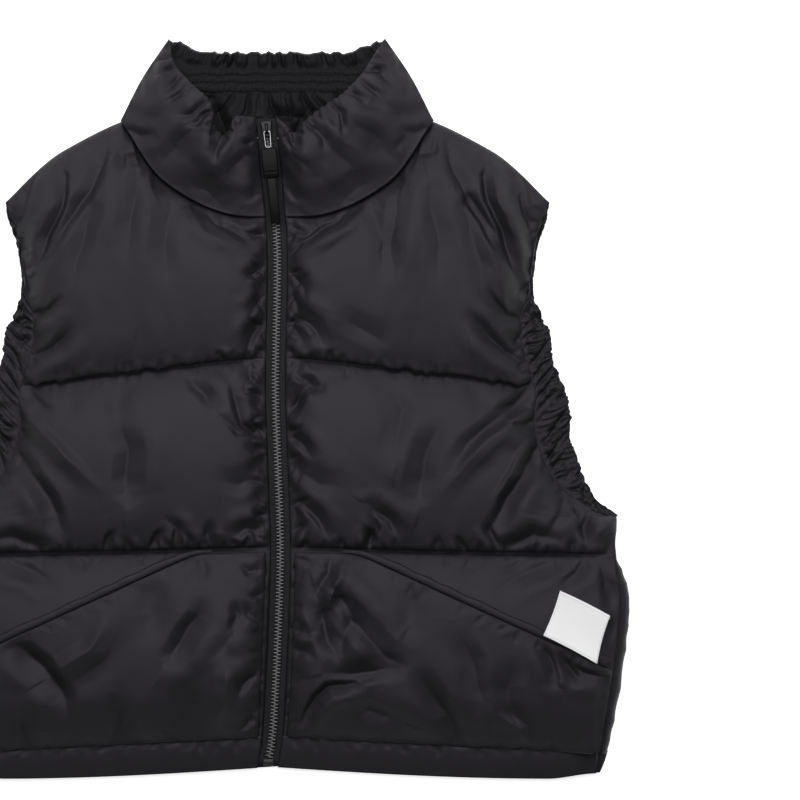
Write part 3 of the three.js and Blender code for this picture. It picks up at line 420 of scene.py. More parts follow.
def front_puckers(side):
    """Short folds of a front beside its zip, quilting lines, neck, shoulder and armhole."""
    def row(line, low, high):
        return line(np.linspace(low, high, 24))
    zip_row = upright(zip_edge(side), -300, 176)
    seam, quilt = level(pocket_seam, 12, 312), level(quilt_line, 12, 238)
    seed = 20 + side
    return [*puckers(row(zip_row, 0, 1), 10, 22, 3.4, 0.75, seed, -1),
            *puckers(row(quilt, 0, 0.22), 7, 11, 2.4, 0.2, seed + 2),
            *puckers(row(quilt, 0.22, 1), 9, 9, 1.8, 0, seed + 4),
            *puckers(row(quilt, 0, 0.25), 8, 14, 2.4, -0.2, seed + 6, -1),
            *puckers(row(quilt, 0.25, 1), 9, 10, 1.8, 0, seed + 8, -1),
            *puckers(row(seam, 0, 0.35), 9, 16, 3.0, 0.3, seed + 10),
            *puckers(row(seam, 0.35, 1), 15, 14, 2.6, 0, seed + 12),
            *puckers(row(seam, 0.1, 1), 17, 13, 2.0, 0, seed + 13, -1),
            *puckers(row(neck_curve(side), 0, 1), 15, 16, 1.8, 0.2, seed + 14, -1),
            *puckers(row(shoulder, 0, 1), 20, 14, 1.6, 0, seed + 16, -1),
            *puckers(row(armhole_upper, 0, 1), 9, 13, 2.6, -0.4, seed + 18),
            *puckers(row(armhole_lower, 0.15, 1), 10, 15, 2.6, -0.3, seed + 20)]


def rise(distance, reach):
    """0 at a seam, and towards 1 as 1 - exp(-(distance / reach)^1.15)."""
    return 1 - np.exp(-((np.maximum(distance, 0) / reach) ** 1.15))


def swell(t):
    """sin(pi t)^p across a quilted row, where p = 0.28 above its lower seam and 0.55 below its upper one."""
    return np.sin(np.pi * t) ** mix(0.28, 0.55, t)


FRONT_COLUMNS = 50
FRONT_ROWS = (28, 25, 32)


def front_start(side, fine):
    """A front before its cloth settles: places, the layer below, held seam points and slack each way.

    The height is edge + (seam to crown by the arch over a quilted row, less edge) x rise from zip and side.
    The tuck draws the cloth over a quilting line, and the share of a crease falls to 0 at the seams."""
    u = np.linspace(0, 1, FRONT_COLUMNS * fine + 1)
    stacks = {key: [] for key in ("plan", "arch", "outer", "gap", "held", "tuck")}
    parts = quilted_rows(zip_edge(side), joined(neck_curve(side), shoulder, NECK_SHARE))
    for part, count, above, below in zip(parts, FRONT_ROWS, (0, 1, 1), (0.1, 0.1, 0)):
        v = np.linspace(0, 1, count * fine + 1)
        uu, vv = np.meshgrid(u, v)
        keep = slice(1 if stacks["plan"] else 0, None)
        plan = part(uu, vv)
        outer = np.abs(distance_to(OUTER_LINE, plan[..., 0], plan[..., 1])[0])
        tall = np.linalg.norm(part(uu, np.ones_like(vv)) - part(uu, np.zeros_like(vv)), axis=-1)
        rows = {"plan": plan, "arch": swell(vv), "outer": outer,
                "gap": tall * np.minimum(vv, 1 - vv), "held": (vv == 0) | (vv == 1),
                "tuck": below * bell((tall * (1 - vv) - 4) / 2.6) - above * bell((tall * vv - 4) / 2.8)}
        if len(stacks["plan"]) == 1:
            low, high = pocket_seam(plan[..., 0]), quilt_line(np.minimum(plan[..., 0], ARMHOLE_MIDDLE[0]))
            rows["arch"] = swell(np.clip((plan[..., 1] - low) / (high - low), 0, 1))
        rows["arch"][[0, -1]] = 0
        for key, rows_of in rows.items():
            stacks[key].append(rows_of[keep])
    plan, arch, outer, gap, held, tuck = (np.concatenate(stack) for stack in stacks.values())
    x, y = plan[..., 0], plan[..., 1]
    from_zip = zip_distance(side, x, y)
    beside = 12 * ease(-y, 100, 150)
    full = rise(from_zip, 15) * rise(outer, 15 + beside)
    base = inner_face(x, y) + SEAM_GAP
    under_patch = ease(pocket_mouth(x) - y, 3, 14) * ease(from_zip, 2, 10) * ease(outer, 2, 10)
    seam_height = QUILT_SEAM - 2.4 * ease(x, 40, 140)
    loft = (mix(seam_height, FRONT_CROWN, arch) - FRONT_EDGE) * full
    pressed = np.minimum(arch * 1.5, 1) * np.minimum(full * 2.2, 1) * (1 - under_patch)
    top = base + np.maximum(FRONT_EDGE + loft, 1.6) - 8 * under_patch
    held[:, [0, -1]] = True
    uneven = 1 + 0.5 * np.sin(x / 13 + 3 * np.sin(y / 37)) * np.sin(y / 11 + 2 * np.sin(x / 29))
    slack_y = 0.002 + (0.05 * np.exp(-from_zip / 15) + 0.04 * np.exp(-outer / 18)) * uneven
    slack_x = 0.002 + 0.045 * np.exp(-gap / 14) * uneven
    start = np.dstack([plan, top])
    wander = 1.1 * np.sin(x / 6.3 + 2 * np.sin(x / 17)) + 0.7 * np.sin(x / 2.9 + 3 * np.sin(x / 11))
    tuck *= mix(1, 3.2, ease(y, -60, 0)) * ease(from_zip, 20, 110) * ease(outer, 2, 14)
    at_first_line = bell(gap / 7) * ease(y, -20, 20) * ease(150 - y, 0, 20)
    tuck += wander * at_first_line * ease(from_zip, 30, 120) * ease(outer, 2, 14)
    return {"start": start, "base": base, "held": held, "slack_x": slack_x, "slack_y": slack_y,
            "span": 2 * fine, "pressed": pressed, "tuck": tuck}


# The slanted mouth leaves the seam above the pocket and falls to the side seam.
MOUTH_START = 75
MOUTH_SLOPE = 0.436


def pocket_mouth(x):
    """Seam height - 3.5 mm - slope x a soft ramp that starts at MOUTH_START."""
    return pocket_seam(x) - 3.5 - MOUTH_SLOPE * 5 * np.log1p(np.exp((x - MOUTH_START) / 5))


def keep_length(x, first, second, rest, share):
    """Moves both ends of each joined pair along their line, by a share of what they are off their cut length.

    The rest is the cut length. It works on every pair of the two index slices at once."""
    way = x[second] - x[first]
    far = np.sqrt(np.einsum("ijk,ijk->ij", way, way))[..., None] + 1e-6
    step = way * (0.5 * share * (1 - rest / far))
    x[first] += step
    x[second] -= step


def pairs(rows, columns):
    """Index pairs of points that lie so many rows and columns apart."""
    def part(step, start):
        if step == 0:
            return slice(None)
        return slice(None, -step) if start else slice(step, None)
    if columns >= 0:
        return (part(rows, True), part(columns, True)), (part(rows, False), part(columns, False))
    return (part(rows, True), part(-columns, False)), (part(rows, False), part(-columns, True))


STRETCH = 0.75
SHEAR = 0.2
BEND = 0.35
FILL_PULL = 0.005
CLOTH_GAP = 1.2


def settle(form, offset, rounds):
    """One level of the cloth simulation, after which each point's offset from the start is returned.

    Points joined along rows, columns and diagonals come near their cut lengths, which the slack makes longer
    than the start. Points two and one span apart are joined more weakly, which is the cloth's stiffness.
    The fill draws each height back to the start's, the layer below stops it, and seam points are held."""
    start = form["start"].astype(np.float32)
    free = (~form["held"])[..., None].astype(np.float32)
    chance = np.random.RandomState(7)
    x = start + offset.astype(np.float32)
    if not offset.any():
        x[..., 2] += free[..., 0] * chance.normal(0, 0.4, x.shape[:2]).astype(np.float32)
    joins = []
    span = form["span"]
    ways = [(0, 1, STRETCH), (1, 0, STRETCH), (1, 1, SHEAR), (1, -1, SHEAR), (0, 2, BEND), (2, 0, BEND)]
    for rows, columns, share in [*ways, (0, span, BEND / 2), (span, 0, BEND / 2)]:
        first, second = pairs(rows, columns)
        way = start[second] - start[first]
        slack = form["slack_x"] if rows == 0 else form["slack_y"] if columns == 0 else None
        if slack is None:
            slack = (form["slack_x"] + form["slack_y"]) / 2
        more = 1 + (slack[first] + slack[second]) / 2
        rest = (np.linalg.norm(way, axis=-1) * more)[..., None].astype(np.float32)
        joins.append((first, second, rest, share))
    floor = (form["base"] + CLOTH_GAP).astype(np.float32)
    last = x.copy()
    for _ in range(rounds):
        moved = x + 0.8 * (x - last)
        last = x
        x = moved
        x[..., 2] += FILL_PULL * (start[..., 2] - x[..., 2])
        for join in joins:
            keep_length(x, *join)
        x[..., 2] = np.maximum(x[..., 2], floor)
        x = start + (x - start) * free
    return x - start


def finer(grid):
    """The grid with a point added halfway between each two neighbours."""
    rows, columns, depth = grid.shape
    out = np.zeros((2 * rows - 1, 2 * columns - 1, depth), grid.dtype)
    out[::2, ::2] = grid
    out[1::2, ::2] = (grid[:-1] + grid[1:]) / 2
    out[:, 1::2] = (out[:, :-1:2] + out[:, 2::2]) / 2
    return out


def softened(grid, free, passes):
    """The grid with each free point drawn halfway to the mean of its four neighbours, once a pass."""
    for _ in range(passes):
        middle = grid[1:-1, 1:-1]
        mean = (grid[:-2, 1:-1] + grid[2:, 1:-1] + grid[1:-1, :-2] + grid[1:-1, 2:]) / 4
        grid = grid.copy()
        grid[1:-1, 1:-1] = mix(middle, mean, 0.5 * free[1:-1, 1:-1, None])
    return grid


def settled(start_at, levels=((90, 0), (80, 4), (40, 14))):
    """The cloth simulated at 1, 2 and 4 times the first fineness, each level starting from the one before.

    A level has its rounds of simulation, and passes that take away ripples finer than real folds."""
    offset = None
    for level_no, (rounds, passes) in enumerate(levels):
        form = start_at(2**level_no)
        offset = np.zeros_like(form["start"]) if offset is None else finer(offset)
        offset = settle(form, offset, rounds)
        offset = softened(offset, ~form["held"], passes)
    return form["start"] + offset, form


def creased(top, form, rows):
    """The settled cloth with its creases pressed in, drawn over its seams and clear of the layer below."""
    x, y, z = np.moveaxis(top, -1, 0)
    low = z - form["pressed"] * (creases(x, y, rows) - streaks(x, y))
    return np.dstack([x, y + form["tuck"], np.maximum(low, form["base"] + CLOTH_GAP)])


def draped(side, start_of, rows):
    """A side's cloth, settled and creased, and the layer under it at every fourth point."""
    top, form = settled(lambda fine: start_of(side, fine))
    under = np.dstack([form["start"][..., :2], form["base"]])
    return creased(top, form, rows), under[::FINEST, ::FINEST]


def grid_faces(rows, columns, first=0):
    """Four-sided faces between the points of a grid, facing up where rows go up in y and columns in x."""
    i = first + np.arange((rows - 1) * columns).reshape(rows - 1, columns)[:, :-1]
    return np.stack([i, i + 1, i + columns + 1, i + columns], -1).reshape(-1, 4)


def rim(rows, columns, step):
    """Points round a grid's border, against the clock, with the nearest row and column of a coarser grid."""
    r = np.concatenate([np.zeros(columns - 1), np.arange(rows - 1), np.full(columns - 1, rows - 1),
                        np.arange(rows - 1, 0, -1)]).astype(int)
    c = np.concatenate([np.arange(columns - 1), np.full(rows - 1, columns - 1), np.arange(columns - 1, 0, -1),
                        np.zeros(rows - 1)]).astype(int)
    return r * columns + c, (r + step // 2) // step, (c + step // 2) // step


def shell(top, under, step=1):
    """Closed mesh of an upper grid and a lower one with every step-th point, joined round their rims."""
    rows, columns = top.shape[:2]
    low_rows, low_columns = under.shape[:2]
    first = rows * columns
    loop, r, c = rim(rows, columns, step)
    below = first + r * low_columns + c
    ahead, below_ahead = np.roll(loop, -1), np.roll(below, -1)
    turns = below != below_ahead
    verts = np.concatenate([top.reshape(-1, 3), under.reshape(-1, 3)])
    faces = [*grid_faces(rows, columns).tolist(), *grid_faces(low_rows, low_columns, first)[:, ::-1].tolist(),
             *np.stack([loop, below, ahead], -1).tolist(),
             *np.stack([ahead, below, below_ahead], -1)[turns].tolist()]
    return verts, faces


def on_side(side, grid):
    """A half's grid on its own side. The columns are turned round with it, so that faces keep facing out."""
    placed = grid * np.array([side, 1, 1])
    return placed if side > 0 else placed[:, ::-1]


SIDES = {1: "left", -1: "right"}


def in_scene(name, data):
    """Object of the data, linked to the scene."""
    obj = bpy.data.objects.new(name, data)
    bpy.context.scene.collection.objects.link(obj)
    return obj


def piece(name, form, material, body="vest", stands_for=()):
    """Mesh object of verts in millimetres and faces, riding on its body."""
    verts, faces = form
    mesh = bpy.data.meshes.new(name)
    mesh.from_pydata((np.asarray(verts) * MM).tolist(), [], faces)
    mesh.shade_smooth()
    mesh.materials.append(material)
    obj = in_scene(name, mesh)
    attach(obj, body)
    if stands_for:
        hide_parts(*stands_for)
    return obj


def padded(name, node, form, material):
    """A padded piece in place of a node."""
    obj = piece(name, form, material, stands_for=[node])
    return obj


def padded_side(kind, node, side, grids, material, step=1):
    """The same for one side, closed between an upper and a lower grid that are worked out for a half."""
    form = shell(*(on_side(side, grid) for grid in grids), step)
    padded(f"{kind}_{SIDES[side]}", f"{node}_{SIDES[side]}", form, material)


def add_node(tree, kind, values=(), feeds=(), **settings):
    """Shader node of a kind, with its settings, the values of its inputs, and the sockets that feed them."""
    node = tree.nodes.new(kind)
    for setting, value in settings.items():
        setattr(node, setting, value)
    for label, value in dict(values).items():
        node.inputs[label].default_value = value
    for label, socket in dict(feeds).items():
        tree.links.new(socket, node.inputs[label])
    return node


def woven_cloth():
    """Node group: a weave of crossed threads, a crumple of soft noise, and patches of lighter cloth."""
    number = "NodeSocketFloat"
    group = bpy.data.node_groups.new("woven_cloth", "ShaderNodeTree")
    for label, value in (("Threads per metre", 2500), ("Weave depth", 0.00004), ("Crumple size", 45),
                         ("Crumple depth", 0.0005)):
        group.interface.new_socket(label, in_out="INPUT", socket_type=number).default_value = value
    for label, kind in (("Shade", number), ("Normal", "NodeSocketVector")):
        group.interface.new_socket(label, in_out="OUTPUT", socket_type=kind)
    given = add_node(group, "NodeGroupInput").outputs
    place = add_node(group, "ShaderNodeTexCoord").outputs["Object"]
    threads = {"Vector": place, "Scale": given["Threads per metre"]}
    waves = [add_node(group, "ShaderNodeTexWave", (), threads, bands_direction=way) for way in ("X", "Y")]
    both = {k: wave.outputs["Fac"] for k, wave in enumerate(waves)}
    crossed = add_node(group, "ShaderNodeMath", (), both, operation="MULTIPLY").outputs[0]
    soft = {"Vector": place, "Scale": given["Crumple size"]}
    crumple = add_node(group, "ShaderNodeTexNoise", {"Detail": 1}, soft).outputs["Fac"]
    broad = {"Scale": 9, "Detail": 2}
    patches = add_node(group, "ShaderNodeTexNoise", broad, {"Vector": place}).outputs["Fac"]
    normal = {}
    for height, depth in ((crossed, "Weave depth"), (crumple, "Crumple depth")):
        bump = add_node(group, "ShaderNodeBump", (), {"Height": height, "Distance": given[depth], **normal})
        normal = {"Normal": bump.outputs["Normal"]}
    add_node(group, "NodeGroupOutput", (), {"Shade": patches, **normal})
    return group


WOVEN = woven_cloth()
# The dyed nylon shines a little violet.
GLOSS_TINT = (0.93, 0.88, 1.0, 1)


def surface(name, pattern, colours, roughnesses, values):
    """Material whose pattern's shade blends two colours and two roughnesses, and which bends the light."""
    material = bpy.data.materials.new(name)
    material.use_nodes = True
    tree = material.node_tree
    shade, normal = pattern(tree)
    dark, light = ((*colour, 1) for colour in colours)
    low, high = roughnesses
    blend = add_node(tree, "ShaderNodeMix", {"A": dark, "B": light}, {"Factor": shade}, data_type="RGBA")
    gloss = add_node(tree, "ShaderNodeMapRange", {"To Min": low, "To Max": high}, {"Value": shade})
    shader = tree.nodes["Principled BSDF"].inputs
    for label, value in values.items():
        shader[label].default_value = value
    tree.links.new(blend.outputs["Result"], shader["Base Color"])
    tree.links.new(gloss.outputs["Result"], shader["Roughness"])
    tree.links.new(normal, shader["Normal"])
    return material


def cloth(name, dark, light, rough, shine, group_values=()):
    """Cloth material, with the pattern of the woven group."""
    def weave(tree):
        outputs = add_node(tree, "ShaderNodeGroup", group_values, node_tree=WOVEN).outputs
        return outputs["Shade"], outputs["Normal"]
    return surface(name, weave, (dark, light), (rough - 0.05, rough + 0.05),
                   {"Specular IOR Level": shine, "Specular Tint": GLOSS_TINT})


taffeta = cloth("black_taffeta", (0.0055, 0.0050, 0.0065), (0.0084, 0.0075, 0.0095), 0.64, 0.405)
front_grids = {}
for side in SIDES:
    top, under = draped(side, front_start, [*CREASES[side], *front_puckers(side)])
    front_grids[side] = top
    padded_side("shell_front", "front", side, (top, under), taffeta, FINEST)

# Patch pockets: one layer of the same taffeta with a light fill, laid over the lower fronts. Its cloth is cut
# a little large, so that it breaks into sharp folds between its seams.
PATCH_THICK = 2.4
PATCH_LIFT = 1.1
PATCH_EDGE = 0.014
PATCH_FOOT = 0.004
PATCH_SIDE_EDGE = 0.001
PATCH_COLUMNS = 50
PATCH_ROWS = 28
PATCH_CREASES = {
    1: [
        (9, 6, [(60, -186), (84, -212), (104, -232), (126, -240)]),
        (8, 6, [(56, -246), (84, -244), (124, -239)]),
        (9, 8, [(40, -186), (48, -214), (60, -240)]),
        (7, 4, [(70, -190), (62, -214), (60, -236)]),
        (5, 7.5, [(70, -254), (48, -257), (37, -267), (26, -285), (13, -304)]),
        (9, 7, [(167, -310), (159, -283), (140, -259), (127, -236)]),
        (8, 4, [(104, -286), (88, -280), (70, -282)]),
        (6, -3.5, [(232, -312), (226, -297), (203, -281)]),
        (5, 4.5, [(260, -250), (252, -228), (245, -205)]),
        (5, 4.5, [(279, -250), (269, -236), (259, -220)]),
        (5, 4.5, [(308, -250), (286, -245), (267, -230)]),
        (6, 5, [(50, -134), (48, -152), (37, -172), (40, -180)]),
        (6, -4, [(48, -180), (58, -156), (60, -134)]),
        (7, 5, [(52, -164), (61, -178), (73, -195)]),
        (5, 3.5, [(15, -138), (30, -144), (40, -140)]),
        (9, 4, [(190, -270), (182, -236), (168, -204)]),
        (9, 4, [(222, -290), (214, -258), (222, -228)]),
        (12, 2.5, [(126, -168), (122, -196), (126, -222)]),
        (8, 6, [(309, -246), (306, -276), (302, -306)]),
        (5, 3.5, [(16, -206), (30, -210), (40, -204)]),
        (5, 3.5, [(16, -228), (28, -226), (38, -232)]),
    ],
    -1: [
        (8, 6, [(96, -226), (84, -208), (72, -190), (70, -172)]),
        (8, 6, [(309, -246), (306, -276), (302, -306)]),
        (6, 4, [(40, -202), (36, -192), (40, -176)]),
        (5, 5, [(19, -246), (28, -254), (38, -268)]),
        (5, 4, [(20, -284), (28, -294), (40, -302)]),
        (8, -4, [(46, -240), (48, -276), (62, -302)]),
        (12, 3, [(92, -300), (84, -276), (90, -246)]),
        (5, 4, [(16, -196), (26, -190), (30, -176)]),
        (5, 4, [(15, -150), (26, -152), (34, -142)]),
        (6, 3.5, [(72, -132), (66, -146), (70, -164)]),
        (12, 3, [(120, -160), (114, -190), (122, -226)]),
        (8, -4.5, [(202, -242), (172, -222), (150, -184)]),
        (8, 6, [(240, -220), (214, -240), (196, -268), (190, -300)]),
        (7, 4, [(302, -244), (280, -258), (256, -262)]),
        (6, 3.5, [(304, -280), (286, -290), (262, -286)]),
        (7, 4, [(150, -312), (144, -292), (156, -262)]),
        (7, 3.5, [(232, -316), (238, -296), (228, -276)]),
        (12, 2.5, [(232, -226), (226, -256), (232, -284)]),
    ],
}


def border(shape):
    """True along a grid's four edges, where seams hold the cloth."""
    held = np.zeros(shape, bool)
    held[[0, -1]] = True
    held[:, [0, -1]] = True
    return held


def patch_plan(side):
    """Plan of a pocket, a function of (u from zip to side, v from hem to mouth)."""
    inner = zip_edge(side)
    hem = level(hem_stitch, inner(-307), side_seam(HEM_SIDE_Y))
    mouth = level(pocket_mouth, inner(-132), side_seam(-236))
    (low_in, low_out), (high_in, high_out) = hem(ENDS)[:, 1], mouth(ENDS)[:, 1]
    return fill_between(hem, mouth, upright(inner, low_in, high_in), upright(side_seam, low_out, high_out))


def patch_start(side, fine):
    """A pocket before its cloth settles, over the same fill as the front's, with its own slack."""
    u = mix(PATCH_EDGE, 1 - PATCH_SIDE_EDGE, np.linspace(0, 1, PATCH_COLUMNS * fine + 1))
    v = mix(PATCH_FOOT, 1, np.linspace(0, 1, PATCH_ROWS * fine + 1))
    uu, vv = np.meshgrid(u, v)
    at = patch_plan(side)
    plan = at(uu, vv)
    x, y = plan[..., 0], plan[..., 1]
    outer = np.linalg.norm(plan - at(np.ones_like(uu), vv), axis=-1)
    from_zip = zip_distance(side, x, y)
    full = rise(from_zip, 15) * rise(outer, 32)
    low, high = hem_stitch(x), pocket_seam(x)
    share = np.clip((y - low) / (high - low), 0, 1)
    arch = np.sin(np.pi * share) ** mix(0.62, 0.4, ease(share, 0, 0.35))
    loft = (mix(QUILT_SEAM, FRONT_CROWN, arch) - FRONT_EDGE) * full
    inside = rise(from_zip - 3, 9) * rise(outer - 3, 9) * rise(pocket_mouth(x) - y, 9) * rise(y - low - 1, 9)
    base = inner_face(x, y) + SEAM_GAP + FRONT_EDGE
    slack_y = 0.003 + 0.03 * np.exp(-from_zip / 14) + 0.03 * np.exp(-outer / 14)
    slack_x = 0.003 + 0.03 * np.exp(-np.minimum(y - low, pocket_mouth(x) - y) / 12)
    drop = 1.4 * near((y - low) / 12) + 2 * near(outer / 12)
    start = np.dstack([plan, base + loft + PATCH_LIFT + PATCH_THICK - drop])
    return {"start": start, "base": base, "held": border(x.shape), "slack_x": slack_x, "slack_y": slack_y,
            "span": 2 * fine, "pressed": inside, "tuck": 0 * x}


def patch_puckers(side):
    """Short folds of a pocket beside the zip, along its mouth and above the hem."""
    t, seed = np.linspace(0, 1, 24), 60 + side
    zip_row = upright(lambda y: zip_edge(side)(y) + 3, -303, -134)(t)
    hem_row = level(lambda x: hem_stitch(x) + 2, 14, 296)(t)
    return [*puckers(zip_row, 12, 17, 2.4, 0.4, seed, -1),
            *puckers(level(pocket_mouth, 60, 300)(t), 17, 13, 1.8, 0, seed + 2, -1),
            *puckers(hem_row, 8, 11, 1.1, 0.4, seed + 4)]


patch_grids = {}
for side in SIDES:
    top, _ = draped(side, patch_start, [*PATCH_CREASES[side], *patch_puckers(side)])
    patch_grids[side] = top
    padded_side("patch_pocket", "pocket", side, (top, (top - [0, 0, PATCH_THICK])[::2, ::2]), taffeta, 2)

# Back panel: padded taffeta like the fronts, pressed flat by its own weight and theirs. It wraps up round the
# sides to the side seams, where its fill bulges out past the fronts.
GROOVE = 4
BACK_NECK_DROP = 16
BACK_COLUMNS = 20
BACK_ROWS = (14, 14, 16)
BACK_FINE = 3
ROW_TALL = 165
outline = profile([(300, -345), (306.9, -329), (317, -289), (323.6, -252), (328.3, -215), (330.2, -191),
                   (329.2, -168), (323.6, -150), (318.4, -136), (319, -101)])


def back_neck(x):
    """Height of the back's neck seam, lowest in the middle."""
    return NECK_POINT[1] - BACK_NECK_DROP * np.cos(np.clip(np.abs(x) / NECK_POINT[0], 0, 1) * np.pi / 2)


def back_half():
    """Half of the back: inner face, round side, and underside with a groove at each quilting line."""
    parts = quilted_rows(lambda y: 0 * y, joined(level(back_neck, 0, NECK_POINT[0]), shoulder, NECK_SHARE))
    u = np.linspace(0, 1, BACK_COLUMNS * BACK_FINE + 1)
    plans, shares = [], []
    for part, count in zip(parts, BACK_ROWS):
        v = np.linspace(0, 1, count * BACK_FINE + 1)[1 if plans else 0:]
        uu, vv = np.meshgrid(u, v)
        plans.append(part(uu, vv))
        shares.append(vv)
    plan, share = np.concatenate(plans), np.concatenate(shares)
    x, y = plan[..., 0], plan[..., 1]
    face = np.dstack([x, y, inner_face(x, y)])
    edge = face[:, -1]
    beside = ease(-edge[:, 1], 98, 108)
    reach = mix(1.2, np.maximum(outline(edge[:, 1]) - edge[:, 0], 1.2), beside)
    turn = mix(4, 13, beside)
    a = np.linspace(0, 1, 5 * BACK_FINE + 1)[None, 1:]
    along = edge[:, 1:2] / 6.3 + 2.4 * np.sin(edge[:, 1:2] / 27)
    gathers = beside[:, None] * (0.4 + 1.6 * np.abs(np.sin(along)) * (0.6 + 0.4 * np.sin(along / 3.7)))
    out = np.where(a < 0.5, np.sin(np.pi * a) ** 0.8, 1 - (turn / reach)[:, None] * (a * 2 - 1) ** 2)
    round_x = edge[:, 0:1] + reach[:, None] * out - np.sin(np.pi * a) * (gathers + 1.2 * beside[:, None])
    sides = np.dstack([round_x, np.repeat(edge[:, 1:2], a.shape[1], 1), edge[:, 2:3] * (1 - ease(a, 0, 1))])
    last = (edge[:, 0] + reach - turn) / edge[:, 0]
    from_line = np.minimum(share, 1 - share) * ROW_TALL
    groove = GROOVE * bell(from_line / 7)
    below = np.dstack([x * last[:, None], y, groove])
    ripple = 0.5 + 0.5 * np.sin(x / 4.6 + 1.7 * np.sin(y / 23) + np.sin(x / 19))
    below[..., 2] += 1.6 * ripple * bell(from_line / 22) * (1 - bell(groove))
    below[:, -1, 2] = 0
    return face, sides, below


def both_halves(half):
    """A half's grid, mirrored to the other side and joined to itself along the middle."""
    return np.concatenate([on_side(-1, half), half[:, 1:]], 1)


face, round_side, below = back_half()
top = both_halves(np.concatenate([face, round_side[:, :-1]], 1))
bottom = both_halves(below)
# The underside gets as many columns as the face with its round sides, so that the two can be joined.
column = np.linspace(0, 1, top.shape[1]) * (bottom.shape[1] - 1)
low = column.astype(int).clip(0, bottom.shape[1] - 2)
bottom = mix(bottom[:, low], bottom[:, low + 1], (column - low)[None, :, None])
padded("shell_back", "back_panel", shell(top, bottom), taffeta)

# Hem casings: the shell cloth turned up on itself and stitched, with a little fill caught inside it.
HEM_BACK_THICK = 9.5
HEM_FRONT_THICK = 9
HEM_RISE = 11
HEM_RISE_REACH = 260


def hem_edge(x):
    """Height of the hem's free edge, higher towards the zip by the rise x (1 - sin) over its reach."""
    return HEM_LOW + HEM_RISE - HEM_RISE * np.sin(np.clip(x / HEM_RISE_REACH, 0, 1) * np.pi / 2)


def hem_casing(inner, outer, bottom, thick, columns, seed):
    """Casing from free edge to stitching: bottom + thick x (0.25 + 0.75 sin(pi v / 2)), with puckers.

    So it falls from its stitching to its free edge, and it is thinner at both of its ends."""
    t, v = np.meshgrid(np.linspace(0, 1, columns), np.linspace(0, 1, 19))
    far = np.abs(mix(inner(-307), outer(HEM_SIDE_Y), t))
    y = mix(hem_edge(far) + 5 * ease(far, 255, 300), hem_stitch(far) + 2.4, v)
    x = mix(inner(y), outer(y), t)
    ends = rise(np.abs(x - outer(y)) + 1.5, 8)
    full = mix(0.25, 1, np.sin(np.pi * np.clip(v / 2, 0.02, 1)) * ends)
    wave = np.sin(x / 3.1 + 1.9 * np.sin(x / 17 + seed)) + 0.6 * np.sin(x / 7.7 + seed)
    z = bottom + thick * full + 0.5 * wave * ease(v, 0.15, 0.95) * (1 - bell((1 - v) / 0.12)) * ends
    stitched = np.stack([x[-1], y[-1]], -1)[::8]
    folds = creases(x, y, puckers(stitched, 10, 14, 1.1, 0.5, seed, -1))
    z -= folds * ease(v, 0, 0.3) * np.minimum(ends * 1.5, 1)
    return np.dstack([x, y, np.maximum(z, bottom + 1)]), np.dstack([x, y, 0 * z + bottom])


casing = hem_casing(lambda y: 1 - outline(y), lambda y: outline(y) - 1, 0, HEM_BACK_THICK, 241, 1)
padded("casing_back", "hem_back", shell(*casing), taffeta)
hem_lines = {}
for side in SIDES:
    casing = hem_casing(zip_edge(side), side_seam, HEM_BACK_THICK + SEAM_GAP, HEM_FRONT_THICK, 141, 3 + side)
    hem_lines[side] = casing[0][-2]
    padded_side("casing_front", "hem_front", side, casing, taffeta)

# Armhole bindings: strips of taffeta round an elastic, gathered by it into small uneven ruffles and held by
# rows of stitching near the free edge.
BAND_THICK = 2.2
BAND_GAP = -2
armhole_edge = curve([(254, 193.5), (250.5, 176), (244, 157), (240.5, 137), (238.5, 115), (240, 101),
                      (247, 84), (254, 70), (257, 44), (267, 20), (272, 0), (272.5, -25), (280, -49),
                      (288, -69), (298, -85), (318, -99)])


def armhole_seam(t):
    """The armhole seam from the underarm to the shoulder tip."""
    low, high = ARMHOLE_LINE[:13], ARMHOLE_LINE[12:]
    spans = [np.linalg.norm(np.diff(line, axis=0), axis=1).sum() for line in (low, high)]
    return joined(armhole_lower, armhole_upper, spans[0] / sum(spans))(t)


BAND_ROWS = (0.58, 0.74, 0.9)


def gathered(a, b, seed):
    """Rounded folds between sharp valleys: weighted sum of 2 |sin| - 1 over three bent and uneven rows."""
    chance = np.random.RandomState(seed)
    total = 0
    for pitch, weight in ((0.7, 0.8), (1.2, 0.55), (2.6, 0.28)):
        turn, p, q, r = chance.uniform(-0.9, 0.9), *chance.uniform(0, 6, 3)
        bent = pitch * (a + turn * b) + 1.3 * np.sin(0.31 * a + p) + 1.2 * np.sin(1.1 * b + 0.37 * a + q)
        uneven = 0.55 + 0.45 * np.sin(0.43 * a * pitch + 0.9 * b + r)
        total = total + weight * uneven * (2 * np.abs(np.sin(bent)) - 1)
    return total


